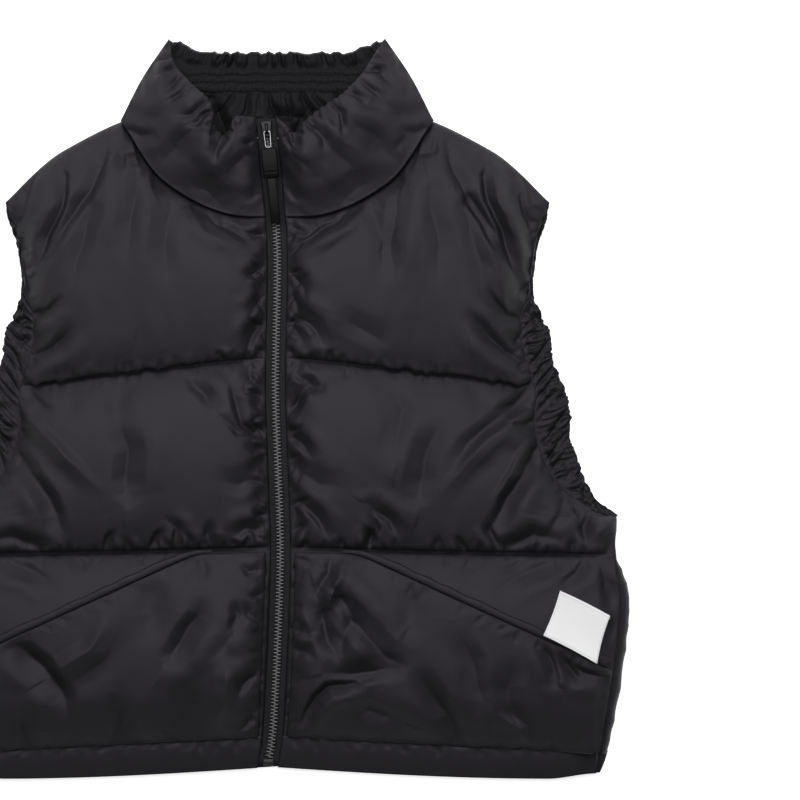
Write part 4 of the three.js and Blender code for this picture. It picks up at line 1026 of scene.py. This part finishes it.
def binding(seam_height, edge_height, deep, seed):
    """Band from just under its seam to its free edge, with ruffles of deep x an uneven wave.

    Its height blends from the seam's to the edge's. The ruffles grow towards the edge, which they also make
    uneven in plan, and are pinched along each row of stitching."""
    t, w = np.meshgrid(np.linspace(0, 1, 381), np.linspace(0, 1, 21), indexing="ij")
    seam, free = armhole_seam(1 - t), armhole_edge(t)
    away = free - seam
    far = np.linalg.norm(away, axis=-1)
    start = seam + BAND_GAP * away / far[..., None]
    wave = gathered(76 * t, 4 * w, seed)
    uneven = (0.05 + 0.5 / far) * wave * w * ease(t, 0, 0.05) * (1 - ease(t, 0.95, 1))
    plan = start + (free - start) * (w * (1 + uneven))[..., None]
    pinch = sum(bell((w - row) / 0.045) for row in BAND_ROWS)
    size = deep * ease(w, 0.02, 0.3) * (1 - 0.4 * pinch) * ease(t, -0.02, 0.05) * (1 - ease(t, 0.96, 1.01))
    z = mix(seam_height, edge_height, w) + size * wave - 0.6 * pinch
    return np.dstack([plan, z])


# A darker copy of the same taffeta for the bindings: painted shade standing in for the shadow in their many
# small folds.
taffeta_painted_shade = cloth("black_taffeta_painted_shade", (0.0038, 0.0034, 0.0044), (0.0058, 0.0052, 0.0065), 0.58,
                         0.32)
lining = cloth("black_lining", (0.0045, 0.0043, 0.0050), (0.0060, 0.0056, 0.0066), 0.62, 0.14)
band_grids = {}
for side in SIDES:
    top = binding(13.5 + BAND_THICK, 7.4 + BAND_THICK, 3.3, 1 + side)[::-1]
    band_grids[side] = top
    grids = top, top - [0, 0, BAND_THICK]
    padded_side("binding_front", "armhole_front", side, grids, taffeta_painted_shade)
    low = binding(1.6 + BAND_THICK, BAND_THICK, 1.4, 4 + side)[::-1]
    under = low - [0, 0, BAND_THICK]
    under[..., 2] = np.maximum(under[..., 2], 0)
    low[..., 2] = np.maximum(low[..., 2], under[..., 2] + 0.8)
    padded_side("binding_back", "armhole_back", side, (low, under), taffeta_painted_shade)

# Collar: two padded fronts of the same taffeta, rolled over the fill at the free edge and folded at the
# sides, where they turn into the collar's back.
COLLAR_CROWN = 29
COLLAR_CORNER = (100.4, 345)
COLLAR_ZIP_TOP = 271
COLLAR_MOUTH_LIFT = 9
NECK_SEAM_OFF = 0.4
COLLAR_EDGES = {
    1: [(8, 265), (17, 256), (24.5, 266), (45, 282), (59, 291), (68, 299.5), (79, 312), (87, 324.5),
        (94.5, 336)],
    -1: [(39, 271), (43, 262), (49.5, 254), (56.5, 261), (58, 273), (62, 286), (80, 303), (95, 321),
         (99, 333)],
}
COLLAR_CREASES = {
    1: [
        (6, 2, [(30, 222), (20, 232), (8, 244)]),
        (5, 2.5, [(8, 206), (16, 197), (24, 190)]),
        (8, 3, [(60, 192), (74, 206), (96, 214)]),
        (5, 3.5, [(30, 262), (44, 250), (46, 236)]),
        (4, 3, [(6, 254), (14, 242), (24, 234)]),
        (6, 3.5, [(70, 292), (84, 280), (104, 278)]),
        (6, 4, [(88, 322), (100, 306), (116, 298)]),
        (6, 4, [(140, 262), (128, 256), (112, 262)]),
        (6, 3.5, [(128, 240), (118, 248), (108, 240)]),
        (9, 2.6, [(96, 250), (74, 262), (56, 284)]),
        (9, 2.6, [(118, 268), (100, 284), (84, 310)]),
        (9, 2.6, [(70, 226), (52, 240), (38, 262)]),
        (9, 2.2, [(112, 232), (96, 244), (86, 262)]),
        (5, 3, [(44, 276), (54, 264), (66, 262)]),
    ],
    -1: [
        (6, 2, [(40, 224), (30, 234), (18, 246)]),
        (5, 2.5, [(14, 202), (24, 196), (32, 190)]),
        (8, 3, [(52, 190), (66, 204), (86, 210)]),
        (5, 4, [(52, 250), (56, 238), (54, 226)]),
        (5, 4, [(62, 276), (72, 266), (88, 262)]),
        (6, 3.5, [(66, 284), (80, 272), (100, 272)]),
        (6, 4, [(86, 314), (98, 298), (114, 294)]),
        (6, 4, [(140, 260), (126, 254), (110, 258)]),
        (9, 2.6, [(92, 246), (76, 258), (64, 280)]),
        (9, 2.6, [(116, 264), (100, 280), (86, 306)]),
        (9, 2.2, [(108, 230), (94, 242), (84, 256)]),
    ],
}


def collar_plan(side):
    """Plan of a collar front, a function of (u from zip to side fold, v from neck seam to free edge)."""
    beside_zip = zip_edge(side)
    neck = neck_curve(side)(np.linspace(0, 1, 60))
    way = unit(np.gradient(neck, axis=0))
    bottom = curve(neck + NECK_SEAM_OFF * np.stack([-way[:, 1], way[:, 0]], -1), 2)
    top = curve([(beside_zip(COLLAR_ZIP_TOP), COLLAR_ZIP_TOP), *COLLAR_EDGES[side], COLLAR_CORNER])
    fold = curve([bottom(ENDS)[1], (125, 308.5), COLLAR_CORNER])
    return fill_between(bottom, top, upright(beside_zip, bottom(ENDS)[0, 1], COLLAR_ZIP_TOP), fold)


def collar_start(side, fine):
    """A collar front before its cloth settles: base + 6 + (crown - 6) x arch x rise from its ends.

    The arch is highest past the middle. The free edge is scalloped by its gathers, most beside the zip."""
    u, v = np.meshgrid(np.linspace(0, 1, 32 * fine + 1), np.linspace(0, 1, 18 * fine + 1))
    at = collar_plan(side)
    plan = at(u, v)
    scallop = 0.8 * (1 - ease(u, 0.35, 0.6)) + 0.4
    plan[..., 1] += scallop * ease(v, 0.85, 1) * np.sin(np.pi * u) * np.sin(150 * u + 3 * np.sin(9 * u))
    x, y = plan[..., 0], plan[..., 1]
    mouth = COLLAR_MOUTH_LIFT * ease(v, 0.35, 0.85) * (1 - ease(u, 0.55, 0.85))
    base = BACK_THICK + 1.2 + mouth
    arch = np.sin(np.pi * np.clip(0.03 + 0.94 * v**1.55, 0, 1)) ** 0.6
    from_zip = np.linalg.norm(plan - at(0 * u, v), axis=-1)
    from_fold = np.linalg.norm(plan - at(0 * u + 1, v), axis=-1)
    ends = rise(from_zip, 13) * rise(from_fold, 18)
    height = base + 6 + (COLLAR_CROWN - 6) * arch * ends
    tall = np.linalg.norm(at(u, 0 * v + 1) - at(u, 0 * v), axis=-1)
    slack_x = 0.004 + 0.012 * np.exp(-v * tall / 12) + 0.07 * np.exp(-(1 - v) * tall / 14)
    slack_y = 0.004 + 0.02 * np.exp(-from_zip / 14) + 0.05 * np.exp(-from_fold / 20)
    pressed = np.minimum(arch * 1.5, 1) * np.minimum(ends * 2, 1)
    return {"start": np.dstack([plan, height]), "base": base, "held": border(x.shape), "slack_x": slack_x,
            "slack_y": slack_y, "span": 2 * fine, "pressed": pressed, "tuck": 0 * x}


def collar_puckers(side):
    """Short folds of a collar front along its free edge, closest beside the zip, and at its other seams."""
    at, seed = collar_plan(side), 90 + side

    def row(across, up):
        return at(np.linspace(*across, 24), np.linspace(*up, 24))
    return [*puckers(row((0.02, 0.4), (1, 1)), 6, 13, 3.4, 0, seed, -1),
            *puckers(row((0.4, 0.97), (1, 1)), 12, 30, 3.2, 0.3, seed + 2, -1),
            *puckers(row((0.05, 0.97), (0, 0)), 24, 8, 0.8, 0, seed + 4),
            *puckers(row((0, 0), (0.5, 0.94)), 10, 15, 2.4, 0.5, seed + 6, -1)]


for side in SIDES:
    grids = draped(side, collar_start, [*COLLAR_CREASES[side], *collar_puckers(side)])
    padded_side("shell_collar", "collar_front", side, grids, taffeta, FINEST)

# Collar back: the outer face lies down, and the lining inside it shows between the fronts. Elastic gathers
# it, so that its free edge stands up in a ruffle and its lower part falls into folds.
COLLAR_BACK_THICK = 15
LINING_CREASES = [
    (2.6, 2.6, [(-8, 290), (-3, 278), (0, 262)]),
    (2.6, 2.8, [(22, 290), (32, 276), (40, 266)]),
    (2.6, 2.6, [(34, 290), (46, 278), (56, 270)]),
    (2.8, 2.4, [(8, 292), (12, 280), (14, 264)]),
    (2.6, 2.4, [(-26, 291), (-30, 278), (-36, 268)]),
    (2.6, 2.6, [(-44, 291), (-50, 280), (-60, 272)]),
    (2.8, 2.2, [(56, 291), (66, 284), (74, 280)]),
    (2.6, 2.2, [(-62, 291), (-70, 286), (-78, 282)]),
    (3, 1.8, [(-16, 292), (-18, 284), (-20, 272)]),
    (7, 5, [(-47, 250), (-50, 264), (-58, 284), (-62, 300)]),
    (6, 5, [(26, 276), (18, 262), (14, 248)]),
    (5, 4, [(-4, 272), (12, 272), (28, 274)]),
]


def collar_back():
    """Inner face of the collar's back, ruffled above its elastic and folded below, and a plain underside."""
    t, h = np.meshgrid(np.linspace(-1, 1, 321), np.linspace(0, 1, 73))
    phase = 13 * t + 0.8 * np.sin(5 * t + 1) + 0.5 * np.sin(13 * t)
    wave = np.cos(np.pi * phase) + 0.35 * np.sin(2.6 * np.pi * phase + 1)
    top_x = COLLAR_CORNER[0] * t
    top_y = 334 + 11 * ease(np.abs(top_x), 62, COLLAR_CORNER[0]) - 1.1 * (1 + wave)
    low_x = NECK_POINT[0] * t
    x, y = mix(low_x, top_x, h), mix(back_neck(low_x) + 1.6, np.minimum(top_y, 345), h)
    ends = rise((1 - np.abs(t)) * 120, 9)
    ruffle = ease(h, 0.8, 0.9) * (1 - ease(h, 0.95, 1.06))
    fine = np.sin(np.pi * 2.1 * phase + 3 * h)
    petals = gathered(34 * t, 4 * h, 12)
    z = COLLAR_BACK_THICK - 6 * ease(h, 0.975, 1) + ruffle * (1.6 + 1.4 * wave + 2.2 * petals)
    z += 0.5 * ruffle * fine
    z -= creases(x, y, LINING_CREASES)
    z += 0.5 * fine * ease(h, 0.2, 0.5) * (1 - ease(h, 0.5, 0.56))
    return np.dstack([x, y, mix(8, z, ends)]), np.dstack([x, y, 0 * z])


def over_coarse(top, under):
    """Closed mesh of an upper grid and every fourth point of a lower one."""
    return shell(top, under[::4, ::4], 4)


back = padded("lining_collar_back", "collar_back", over_coarse(*collar_back()), lining)

# Elastic at the back of the neck: three channels sewn by four rows of stitching, drawn up into fine ribs.
ELASTIC_LOW = 296
ELASTIC_HIGH = 317.5
ELASTIC_HALF = 92
ELASTIC_BASE = COLLAR_BACK_THICK + SEAM_GAP


def elastic_strip():
    """Base + 1.1 + |sin 3 pi v|^0.7 x (1.3 + fine uneven ribs), over its level base."""
    t, v = np.meshgrid(np.linspace(-1, 1, 421), np.linspace(0, 1, 37))
    channel = np.abs(np.sin(3 * np.pi * v)) ** 0.7
    ribs = np.sin(150 * t + 5 * np.sin(6 * t) + 2 * np.sin(3 * np.pi * v + 9 * t)) + 0.5 * np.sin(67 * t + 4)
    x = t * ELASTIC_HALF * mix(1.02, 0.96, v)
    y = mix(ELASTIC_LOW, ELASTIC_HIGH, v) + 0.5 * np.sin(23 * t)
    z = ELASTIC_BASE + 1.1 + channel * (1.3 + 0.28 * ribs)
    return np.dstack([x, y, z]), np.dstack([x, y, 0 * x + ELASTIC_BASE])


form = over_coarse(*elastic_strip())
elastic = piece("channels_neck_elastic", form, lining, stands_for=["neck_elastic"])

# Welts: a folded strip of taffeta that binds each pocket mouth, edge stitched along both sides.
WELT_WIDE = 7.4
WELT_HIGH = 4.0
WELT_LIFT = 1.1
WELT_GAP = 0.6
WELT_START = 60
WELT_PROFILE = [(0, 0), (0.02, 0.55), (0.1, 0.85), (0.25, 0.98), (0.5, 1.0), (0.75, 0.98), (0.9, 0.85),
                (0.98, 0.5), (1, 0)]


def grid_height(grid, x, y):
    """Height of the nearest point of a grid to each place."""
    flat = grid.reshape(-1, 3)
    out = np.empty(len(x))
    for i, (a, b) in enumerate(zip(x, y)):
        out[i] = flat[np.argmin((flat[:, 0] - a) ** 2 + (flat[:, 1] - b) ** 2), 2]
    return out


def welt(side):
    """The profile carried along the mouth, rolled over its padding and a little uneven."""
    x = np.linspace(WELT_START, 306, 121)
    y = pocket_mouth(x)
    z = grid_height(patch_start(side, FINEST)["start"], x, y) - PATCH_LIFT - PATCH_THICK
    line = np.stack([x, y, np.convolve(np.pad(z, 4, "edge"), np.ones(9) / 9, "valid")], -1)
    way = unit(np.gradient(line[:, :2], axis=0))
    out = np.stack([-way[:, 1], way[:, 0], 0 * x], -1)
    across, up = np.array(WELT_PROFILE).T
    grown = mix(0.35, 1, ease(x, WELT_START, WELT_START + 42))
    uneven = grown * (1 + 0.07 * np.sin(x / 5 + 2 * np.sin(x / 23)))
    wide = WELT_WIDE * across[None, :, None] * uneven[:, None, None]
    high = WELT_HIGH * up[None] * (uneven * ease(x, WELT_START - 9, WELT_START + 30))[:, None]
    grid = line[:, None] + out[:, None] * (WELT_GAP + wide)
    grid[..., 2] += WELT_LIFT + high
    under = grid.copy()
    under[..., 2] = line[:, None, 2] + WELT_LIFT
    return grid, under


welt_grids = {}
for side in SIDES:
    grids = [np.swapaxes(grid, 0, 1) for grid in welt(side)]
    welt_grids[side] = grids[0]
    padded_side("binding_mouth", "welt", side, grids, taffeta)

# Zip tapes: black woven polyester, with a raised cord beside the chain.
TAPE_THICK = 1.2
ZIP_TOP = 270
ZIP_FOOT = -331


def zip_level(y):
    """Height of the tapes' underside: just over the back, lifted in the collar and lowered at the hem."""
    lifted = BACK_THICK + 1.6 + COLLAR_MOUTH_LIFT * ease(y, 175, 262)
    return lifted - 5 * ease(-y, 265, 320)


tape_cloth = cloth("zip_tape", (0.0065, 0.0065, 0.0071), (0.0095, 0.0095, 0.0103), 0.65, 0.4,
                   [("Threads per metre", 700), ("Weave depth", 0.0003), ("Crumple depth", 0.0002)])
for side, name in SIDES.items():
    y, w = np.meshgrid(np.linspace(ZIP_FOOT, ZIP_TOP, 241), np.linspace(0, 1, 13), indexing="ij")
    near_x, far_x = (0.3, TAPE_HALF - SEAM_GAP) if side > 0 else (-TAPE_HALF + SEAM_GAP, -0.3)
    x = mix(near_x, far_x, w)
    cord = 0.7 * bell((np.abs(x) - 4.9) / 0.7)
    under = np.dstack([zip_x(y) + x, y, zip_level(y)])
    over = under + np.dstack([0 * x, 0 * x, TAPE_THICK + cord])
    tape = piece(f"tape_{name}", shell(over, under), tape_cloth, stands_for=[f"zip_tape_{name}"])

# Zip teeth: moulded plastic, one after another from the left and the right tape, each gripping the next.
TOOTH_PITCH = 3.3
TEETH_FOOT = ZIP_FOOT + 6.5
TEETH_TOP = 252
TOOTH_OFF = 1.25


def rounded_bar(half_sizes, rings=(-1, -0.72, 0.72, 1), shrink=(0.66, 1, 1, 0.66), sides=8):
    """Closed bar along its first axis: rounded rings, smaller at both ends."""
    a = (np.arange(sides) + 0.5) * 2 * np.pi / sides
    section = np.sign(np.cos(a)) * np.abs(np.cos(a)) ** 0.6, np.sign(np.sin(a)) * np.abs(np.sin(a)) ** 0.6
    verts = [(r * half_sizes[0], section[0][k] * s * half_sizes[1], section[1][k] * s * half_sizes[2])
             for r, s in zip(rings, shrink) for k in range(sides)]
    faces = []
    for first in range(0, (len(rings) - 1) * sides, sides):
        ends = [(first + k, first + (k + 1) % sides) for k in range(sides)]
        faces += [(a, b, b + sides, a + sides) for a, b in ends]
    faces += [tuple(range(sides))[::-1], tuple(range((len(rings) - 1) * sides, len(rings) * sides))]
    return np.array(verts), faces


def copies(template, places, ways):
    """One mesh of the template set at each place, its first axis along the way and its last one near z."""
    verts, faces = template
    ways = unit(ways)
    across = unit(np.cross([0, 0, 1.0], ways))
    ups = np.cross(ways, across)
    along, aside, upward = (verts[None, :, k : k + 1] for k in range(3))
    turned = along * ways[:, None] + aside * across[:, None] + upward * ups[:, None]
    count = len(verts)
    out = [tuple(i + k * count for i in face) for k in range(len(places)) for face in faces]
    return (turned + places[:, None]).reshape(-1, 3), out


def plastic(name, colour, rough, metal=0.0, shine=0.5):
    """Moulded or plated material with a fine grain in its colour, its gloss and its surface."""
    def grain(tree):
        place = {"Vector": add_node(tree, "ShaderNodeTexCoord").outputs["Object"]}
        noise = add_node(tree, "ShaderNodeTexNoise", {"Scale": 400, "Detail": 3}, place).outputs["Fac"]
        bump = add_node(tree, "ShaderNodeBump", {"Distance": 0.00005}, {"Height": noise})
        return noise, bump.outputs["Normal"]
    colours = [[c * share for c in colour] for share in (0.8, 1.2)]
    values = {"Metallic": metal, "Specular IOR Level": shine}
    return surface(name, grain, colours, (rough * 0.8, rough * 1.2), values)


teeth_plastic = plastic("zip_teeth", (0.055, 0.055, 0.058), 0.28)
ys = np.arange(TEETH_FOOT, TEETH_TOP, TOOTH_PITCH / 2)
way_side = np.where(np.arange(len(ys)) % 2 == 0, 1.0, -1.0)
slope = np.gradient(zip_x(ys), ys)
ways = np.stack([way_side, -slope * way_side, 0 * ys], -1)
on_tape = zip_level(ys) + TAPE_THICK + SEAM_GAP
places = np.stack([zip_x(ys) + way_side * TOOTH_OFF, ys, on_tape + TOOTH_OFF], -1)
tooth = rounded_bar((2.45, 1.05, 1.2), rings=(-1, -0.55, 0.3, 0.8, 1), shrink=(0.62, 0.8, 1, 1, 0.7))
tooth[0][:, 1] *= np.where(tooth[0][:, 0] < -0.8, 1.12, 0.82)
piece("teeth", copies(tooth, places, ways), teeth_plastic, stands_for=["zip_chain"])


def block(low, high, bevel, cuts=2):
    """Box between two corners with rounded edges, in millimetres."""
    body = bmesh.new()
    bmesh.ops.create_cube(body, size=1)
    sizes, centre = np.subtract(high, low), np.add(high, low) / 2
    for vert in body.verts:
        vert.co = tuple(centre + np.array(vert.co) * sizes)
    bmesh.ops.bevel(body, geom=body.edges[:], offset=bevel, segments=cuts, profile=0.5, affect="EDGES")
    verts = np.array([vert.co for vert in body.verts])
    faces = [tuple(v.index for v in face.verts) for face in body.faces]
    body.free()
    return verts, faces


def centred(half_wide, along, up, bevel, cuts=2):
    """The same with its middle at x = 0, between two y and two z."""
    return block((-half_wide, along[0], up[0]), (half_wide, along[1], up[1]), bevel, cuts)


def together(*forms):
    """Several closed meshes as one."""
    verts, faces, first = [], [], 0
    for v, f in forms:
        verts.append(v)
        faces += [tuple(i + first for i in face) for face in f]
        first += len(v)
    return np.concatenate(verts), faces


FOOT_HALF = 5.2
foot_y = ZIP_FOOT + 2
foot_x, foot_z = zip_x(foot_y), zip_level(foot_y)
foot = block((foot_x - FOOT_HALF, ZIP_FOOT - 1, foot_z + 1.7),
             (foot_x + FOOT_HALF, ZIP_FOOT + 5, foot_z + 5.0), 1.0)
box_plastic = plastic("box_moulding", (0.012, 0.012, 0.013), 0.4, shine=0.3)
piece("box_foot", foot, box_plastic, stands_for=["zip_box"])

# Slider: die-cast and plated in black nickel, with a bridge on its crown that holds the pull's wire link.
SLIDER_Y = 260
lean = math.atan2(zip_x(270) - zip_x(225), 45)
black_nickel = plastic("black_nickel", (0.016, 0.016, 0.018), 0.3, metal=1.0)
slider_at = np.array([zip_x(SLIDER_Y), SLIDER_Y, zip_level(SLIDER_Y) + TAPE_THICK + SEAM_GAP])


def turned(verts, angle):
    """Points turned about the z axis."""
    c, s = math.cos(angle), math.sin(angle)
    return verts @ np.array([[c, s, 0], [-s, c, 0], [0, 0, 1]])


def at_slider(form):
    """From the slider's own frame, with y along the zip, to the vest's."""
    verts, faces = form
    return turned(verts, -lean) + slider_at, faces


def wedge(form):
    """Narrows a form in x towards the slider's lower end, to 0.66 of its width."""
    verts, faces = form
    verts = verts.copy()
    verts[:, 0] *= mix(0.66, 1, ease(verts[:, 1], -7.5, 3))
    return verts, faces


PLATE_LEVELS = ((0, 2), (4.0, 6.1))
plates = [wedge(centred(5.2, (-7.4, 7.4), levels, 0.7, 3)) for levels in PLATE_LEVELS]
post = centred(1.6, (2.5, 6.5), (1.8, 4.2), 0.3)
flanges = [wedge(block((x - 0.6, -7.2, 1.5), (x + 0.6, 4.5, 4.6), 0.3)) for x in (-4.5, 4.5)]
slider = at_slider(together(*plates, post, *flanges))
piece("slider_body", slider, black_nickel, stands_for=["zip_slider"])


def tube(path, radius, sides, closed=False):
    """Round bar along a path in space: a ring of points round each of the path's own."""
    way = unit(np.roll(path, -1, 0) - np.roll(path, 1, 0) if closed else np.gradient(path, axis=0))
    lies_level = np.ptp(path[:, 2]) < np.ptp(path[:, 0]) + 1e-6
    across = unit(np.cross(way, [0.0, 0, 1] if lies_level else [1.0, 0, 0]))
    other = np.cross(way, across)
    a = np.linspace(0, 2 * np.pi, sides, endpoint=False)[None, :, None]
    rings = path[:, None] + radius * (np.cos(a) * across[:, None] + np.sin(a) * other[:, None])
    count = len(path)
    i, k = np.meshgrid(np.arange(count if closed else count - 1), np.arange(sides), indexing="ij")
    j, m = (i + 1) % count, (k + 1) % sides
    faces = np.stack([i * sides + k, i * sides + m, j * sides + m, j * sides + k], -1).reshape(-1, 4).tolist()
    if not closed:
        faces += [list(range(sides))[::-1], list(range((count - 1) * sides, count * sides))]
    return rings.reshape(-1, 3), faces


HINGE_UP = 6.2 + 2.1
angles = np.linspace(0, np.pi, 25)
arch_path = np.stack([0 * angles, -4.5 * np.cos(angles), 6.1 + 3.9 * np.sin(angles) ** 0.45], -1)
verts, faces = tube(arch_path, 0.75, 12)
bridge = at_slider((verts * [1.9, 1, 1], faces))
piece("bridge", bridge, black_nickel, stands_for=["slider_bridge"])

# Pull: a bright wire link, a moulded grip with two steps across its lower end, and a flat moulded tab.
PULL_TILT = math.radians(5.4)
pull_gloss = plastic("pull_moulding", (0.002, 0.002, 0.0024), 0.34, shine=0.07)
bright = plastic("link_wire", (0.34, 0.34, 0.36), 0.2, metal=1.0)


def at_hinge(form):
    """From the pull's own frame, with its hinge at the origin and its length down -y, to the vest's."""
    verts, faces = form
    c, s = math.cos(PULL_TILT), math.sin(PULL_TILT)
    tilted = verts @ np.array([[1, 0, 0], [0, c, s], [0, -s, c]])
    return turned(tilted + [0, -2.6, HINGE_UP], -lean) + slider_at, faces


def ring_path(half_top, half_end, length, corner=1.4, per=6):
    """Rounded four-sided loop in the plane of the pull, from the hinge down to its length."""
    corners = [(half_top, 0), (half_end, -length), (-half_end, -length), (-half_top, 0)]
    path = []
    for i, c in enumerate(corners):
        a, b = np.array(corners[i - 1]) - c, np.array(corners[(i + 1) % 4]) - c
        a, b = a / np.linalg.norm(a) * corner, b / np.linalg.norm(b) * corner
        t = np.linspace(0, 1, per)[:, None]
        path.append(np.array(c) + a * (1 - t) ** 2 + b * t**2)
    flat = np.concatenate(path)
    return np.column_stack([flat, np.zeros(len(flat))])


link = at_hinge(tube(ring_path(2.95, 2.4, 14.6), 0.62, 10, closed=True))
piece("link", link, bright, "pull", stands_for=["pull_link"])
GRIP_STEPS = ((-36.5, -34.6), (-40, -38.1))
grip = together(centred(7.3, (-43, -15.6), (-2.2, 2.2), 1.1, 3),
                *(centred(6.4, step, (1.9, 2.9), 0.35) for step in GRIP_STEPS))
piece("grip", at_hinge(grip), pull_gloss, "pull", stands_for=["pull_grip"])
seam_rib = block((3.2, -84, 0.9), (4.1, -44.5, 1.5), 0.25)
tab = together(centred(4.3, (-86, -43.4), (-1.2, 1.2), 0.9, 3), seam_rib)
piece("tab", at_hinge(tab), pull_gloss, "pull", stands_for=["pull_strap"])

# Label: a blank white woven label, sewn over the end of the left pocket's mouth along its four edges.
LABEL_THICK = 1.1
LABEL_GAP = 0.8
LABEL_CORNERS = np.array([[(246.9, -209.3), (296.7, -235.8)], [(262.7, -168.3), (309.2, -191.6)]])


def label_grid():
    """Bowed sheet between its corners, at the height of a smooth surface fitted to the cloth below it."""
    t, v = np.meshgrid(np.linspace(0, 1, 41), np.linspace(0, 1, 41))
    low, high = (mix(row[0], row[1], t[..., None]) for row in LABEL_CORNERS)
    plan = mix(low, high, v[..., None])
    plan[..., 0] -= 1.2 * np.sin(np.pi * v) * (2 * t - 1)
    plan[..., 1] += 0.8 * np.sin(np.pi * t)
    x, y = plan[..., 0], plan[..., 1]
    under = np.concatenate([grid.reshape(-1, 3) for grid in (front_grids[1], patch_grids[1], welt_grids[1])])
    spots = plan[::8, ::8].reshape(-1, 2)
    height = np.array([under[np.hypot(under[:, 0] - a, under[:, 1] - b) < 9, 2].max() for a, b in spots])
    coarse = np.linspace(0, 1, 6)
    design = np.stack([np.ones(36), *(part.ravel() for part in np.meshgrid(coarse, coarse))], -1)
    design = np.column_stack([design, design[:, 2] ** 2])
    fit = np.linalg.lstsq(design, height, rcond=None)[0]
    z = fit[0] + fit[1] * t + fit[2] * v + fit[3] * v**2 + LABEL_THICK + LABEL_GAP
    return np.dstack([x, y, z + 0.4 * np.sin(2 * np.pi * v + 3 * t)])


white_label = cloth("label_weave", (0.97, 0.97, 0.975), (0.99, 0.99, 0.995), 0.7, 0.3,
                    [("Threads per metre", 900), ("Weave depth", 0.0002), ("Crumple depth", 0.0004)])
top = label_grid()
form = over_coarse(top, top - [0, 0, LABEL_THICK])
label = piece("label", form, white_label, stands_for=["pocket_label"])

# Stitching: black polyester thread in even lock stitches along the seams that show.
thread = cloth("black_thread", (0.006, 0.006, 0.0065), (0.009, 0.009, 0.0095), 0.65, 0.3,
               [("Threads per metre", 4000)])
STITCH = rounded_bar((1.1, 0.27, 0.27), sides=6)


def stitch_run(line, pitch, lift):
    """Places and ways of the stitches along a line in space."""
    far = lengths_along(line)
    at = np.arange(pitch / 2, far[-1], pitch)
    way = place_along(line, far, at + 0.5) - place_along(line, far, at - 0.5)
    return place_along(line, far, at) + [0, 0, lift], way


def sewn(name, lines, material=thread, pitch=3.1, lift=0.15):
    """One piece of all the stitches along several lines."""
    runs = [stitch_run(line, pitch, lift) for line in lines]
    places, ways = (np.concatenate([run[k] for run in runs]) for k in (0, 1))
    piece(name, copies(STITCH, places, ways), material)


lines = []
for side in SIDES:
    front, patch, band = front_grids[side], patch_grids[side], band_grids[side]
    seam_row, quilt_row = FRONT_ROWS[0] * FINEST, (FRONT_ROWS[0] + FRONT_ROWS[1]) * FINEST
    half = [front[quilt_row], front[seam_row - 1], front[4:, 1], patch[3:, 2], patch[3:, 5], patch[2],
            hem_lines[side] + [0, -0.6, 0.2], *(band[:, round(row * 20)] for row in BAND_ROWS),
            *(welt_grids[side][k] for k in (2, 6))]
    lines += [line * [side, 1, 1] for line in half]
sewn("stitching", lines)
strip, _ = elastic_strip()
sewn("stitching_elastic", [strip[k] for k in (1, 12, 24, 35)], pitch=2.6)
rows = [top[2], top[-3], top[:, 1], top[:, -2]]
white_thread = cloth("white_thread", (0.7, 0.7, 0.72), (0.82, 0.82, 0.84), 0.6, 0.3)
sewn("stitching_label", rows, white_thread, pitch=2.4, lift=0.05)

# Studio: a white sweep under the vest, a large soft light above and towards the collar, and an even fill.
world = bpy.data.worlds.new("studio")
bpy.context.scene.world = world
world.use_nodes = True
backdrop = world.node_tree.nodes["Background"].inputs
backdrop["Color"].default_value = (1, 1, 1, 1)
backdrop["Strength"].default_value = 0.07


def soft_light(name, place, size, power):
    """Square area light, in metres and watts, that points at the middle of the vest."""
    data = bpy.data.lights.new(name, "AREA")
    data.size = size
    data.energy = power
    lamp = in_scene(name, data)
    lamp.location = place
    away = unit(np.array(place))
    lamp.rotation_euler = (math.acos(away[2]), 0, math.atan2(away[0], -away[1]))


soft_light("key", (-0.02, 0.64, 1.4), 1.7, 37.5)
soft_light("fill", (-0.6, -1.5, 1.8), 2.0, 2)

floor_mesh = bpy.data.meshes.new("floor")
FLOOR_HALF = 4
FLOOR_LEVEL = -0.0004
corners = [(x * FLOOR_HALF, y * FLOOR_HALF, FLOOR_LEVEL) for x, y in ((-1, -1), (1, -1), (1, 1), (-1, 1))]
floor_mesh.from_pydata(corners, [], [(0, 1, 2, 3)])
white = bpy.data.materials.new("white_sweep")
white.use_nodes = True
for label, value in (("Base Color", (0.9, 0.9, 0.9, 1)), ("Roughness", 0.9),
                     ("Emission Color", (1, 1, 1, 1)), ("Emission Strength", 0.75)):
    white.node_tree.nodes["Principled BSDF"].inputs[label].default_value = value
floor_mesh.materials.append(white)
in_scene("floor", floor_mesh)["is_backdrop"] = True

# Camera: straight above, with a long lens, framed as in the photograph.
FRAME_WIDTH = 0.744
CAMERA_HEIGHT = 4.0
VEST_MIDDLE_HEIGHT = 0.025
SENSOR_WIDTH = 36
camera_data = bpy.data.cameras.new("camera")
camera_data.sensor_width = SENSOR_WIDTH
camera_data.lens = SENSOR_WIDTH * CAMERA_HEIGHT / FRAME_WIDTH
camera = in_scene("camera", camera_data)
camera.location = (0.1144, 0.0084, CAMERA_HEIGHT + VEST_MIDDLE_HEIGHT)
bpy.context.scene.camera = camera
bpy.context.scene.view_settings.view_transform = "Standard"

corners = [[float(n) for n in corner] for box in (solids_box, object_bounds()) for corner in box]
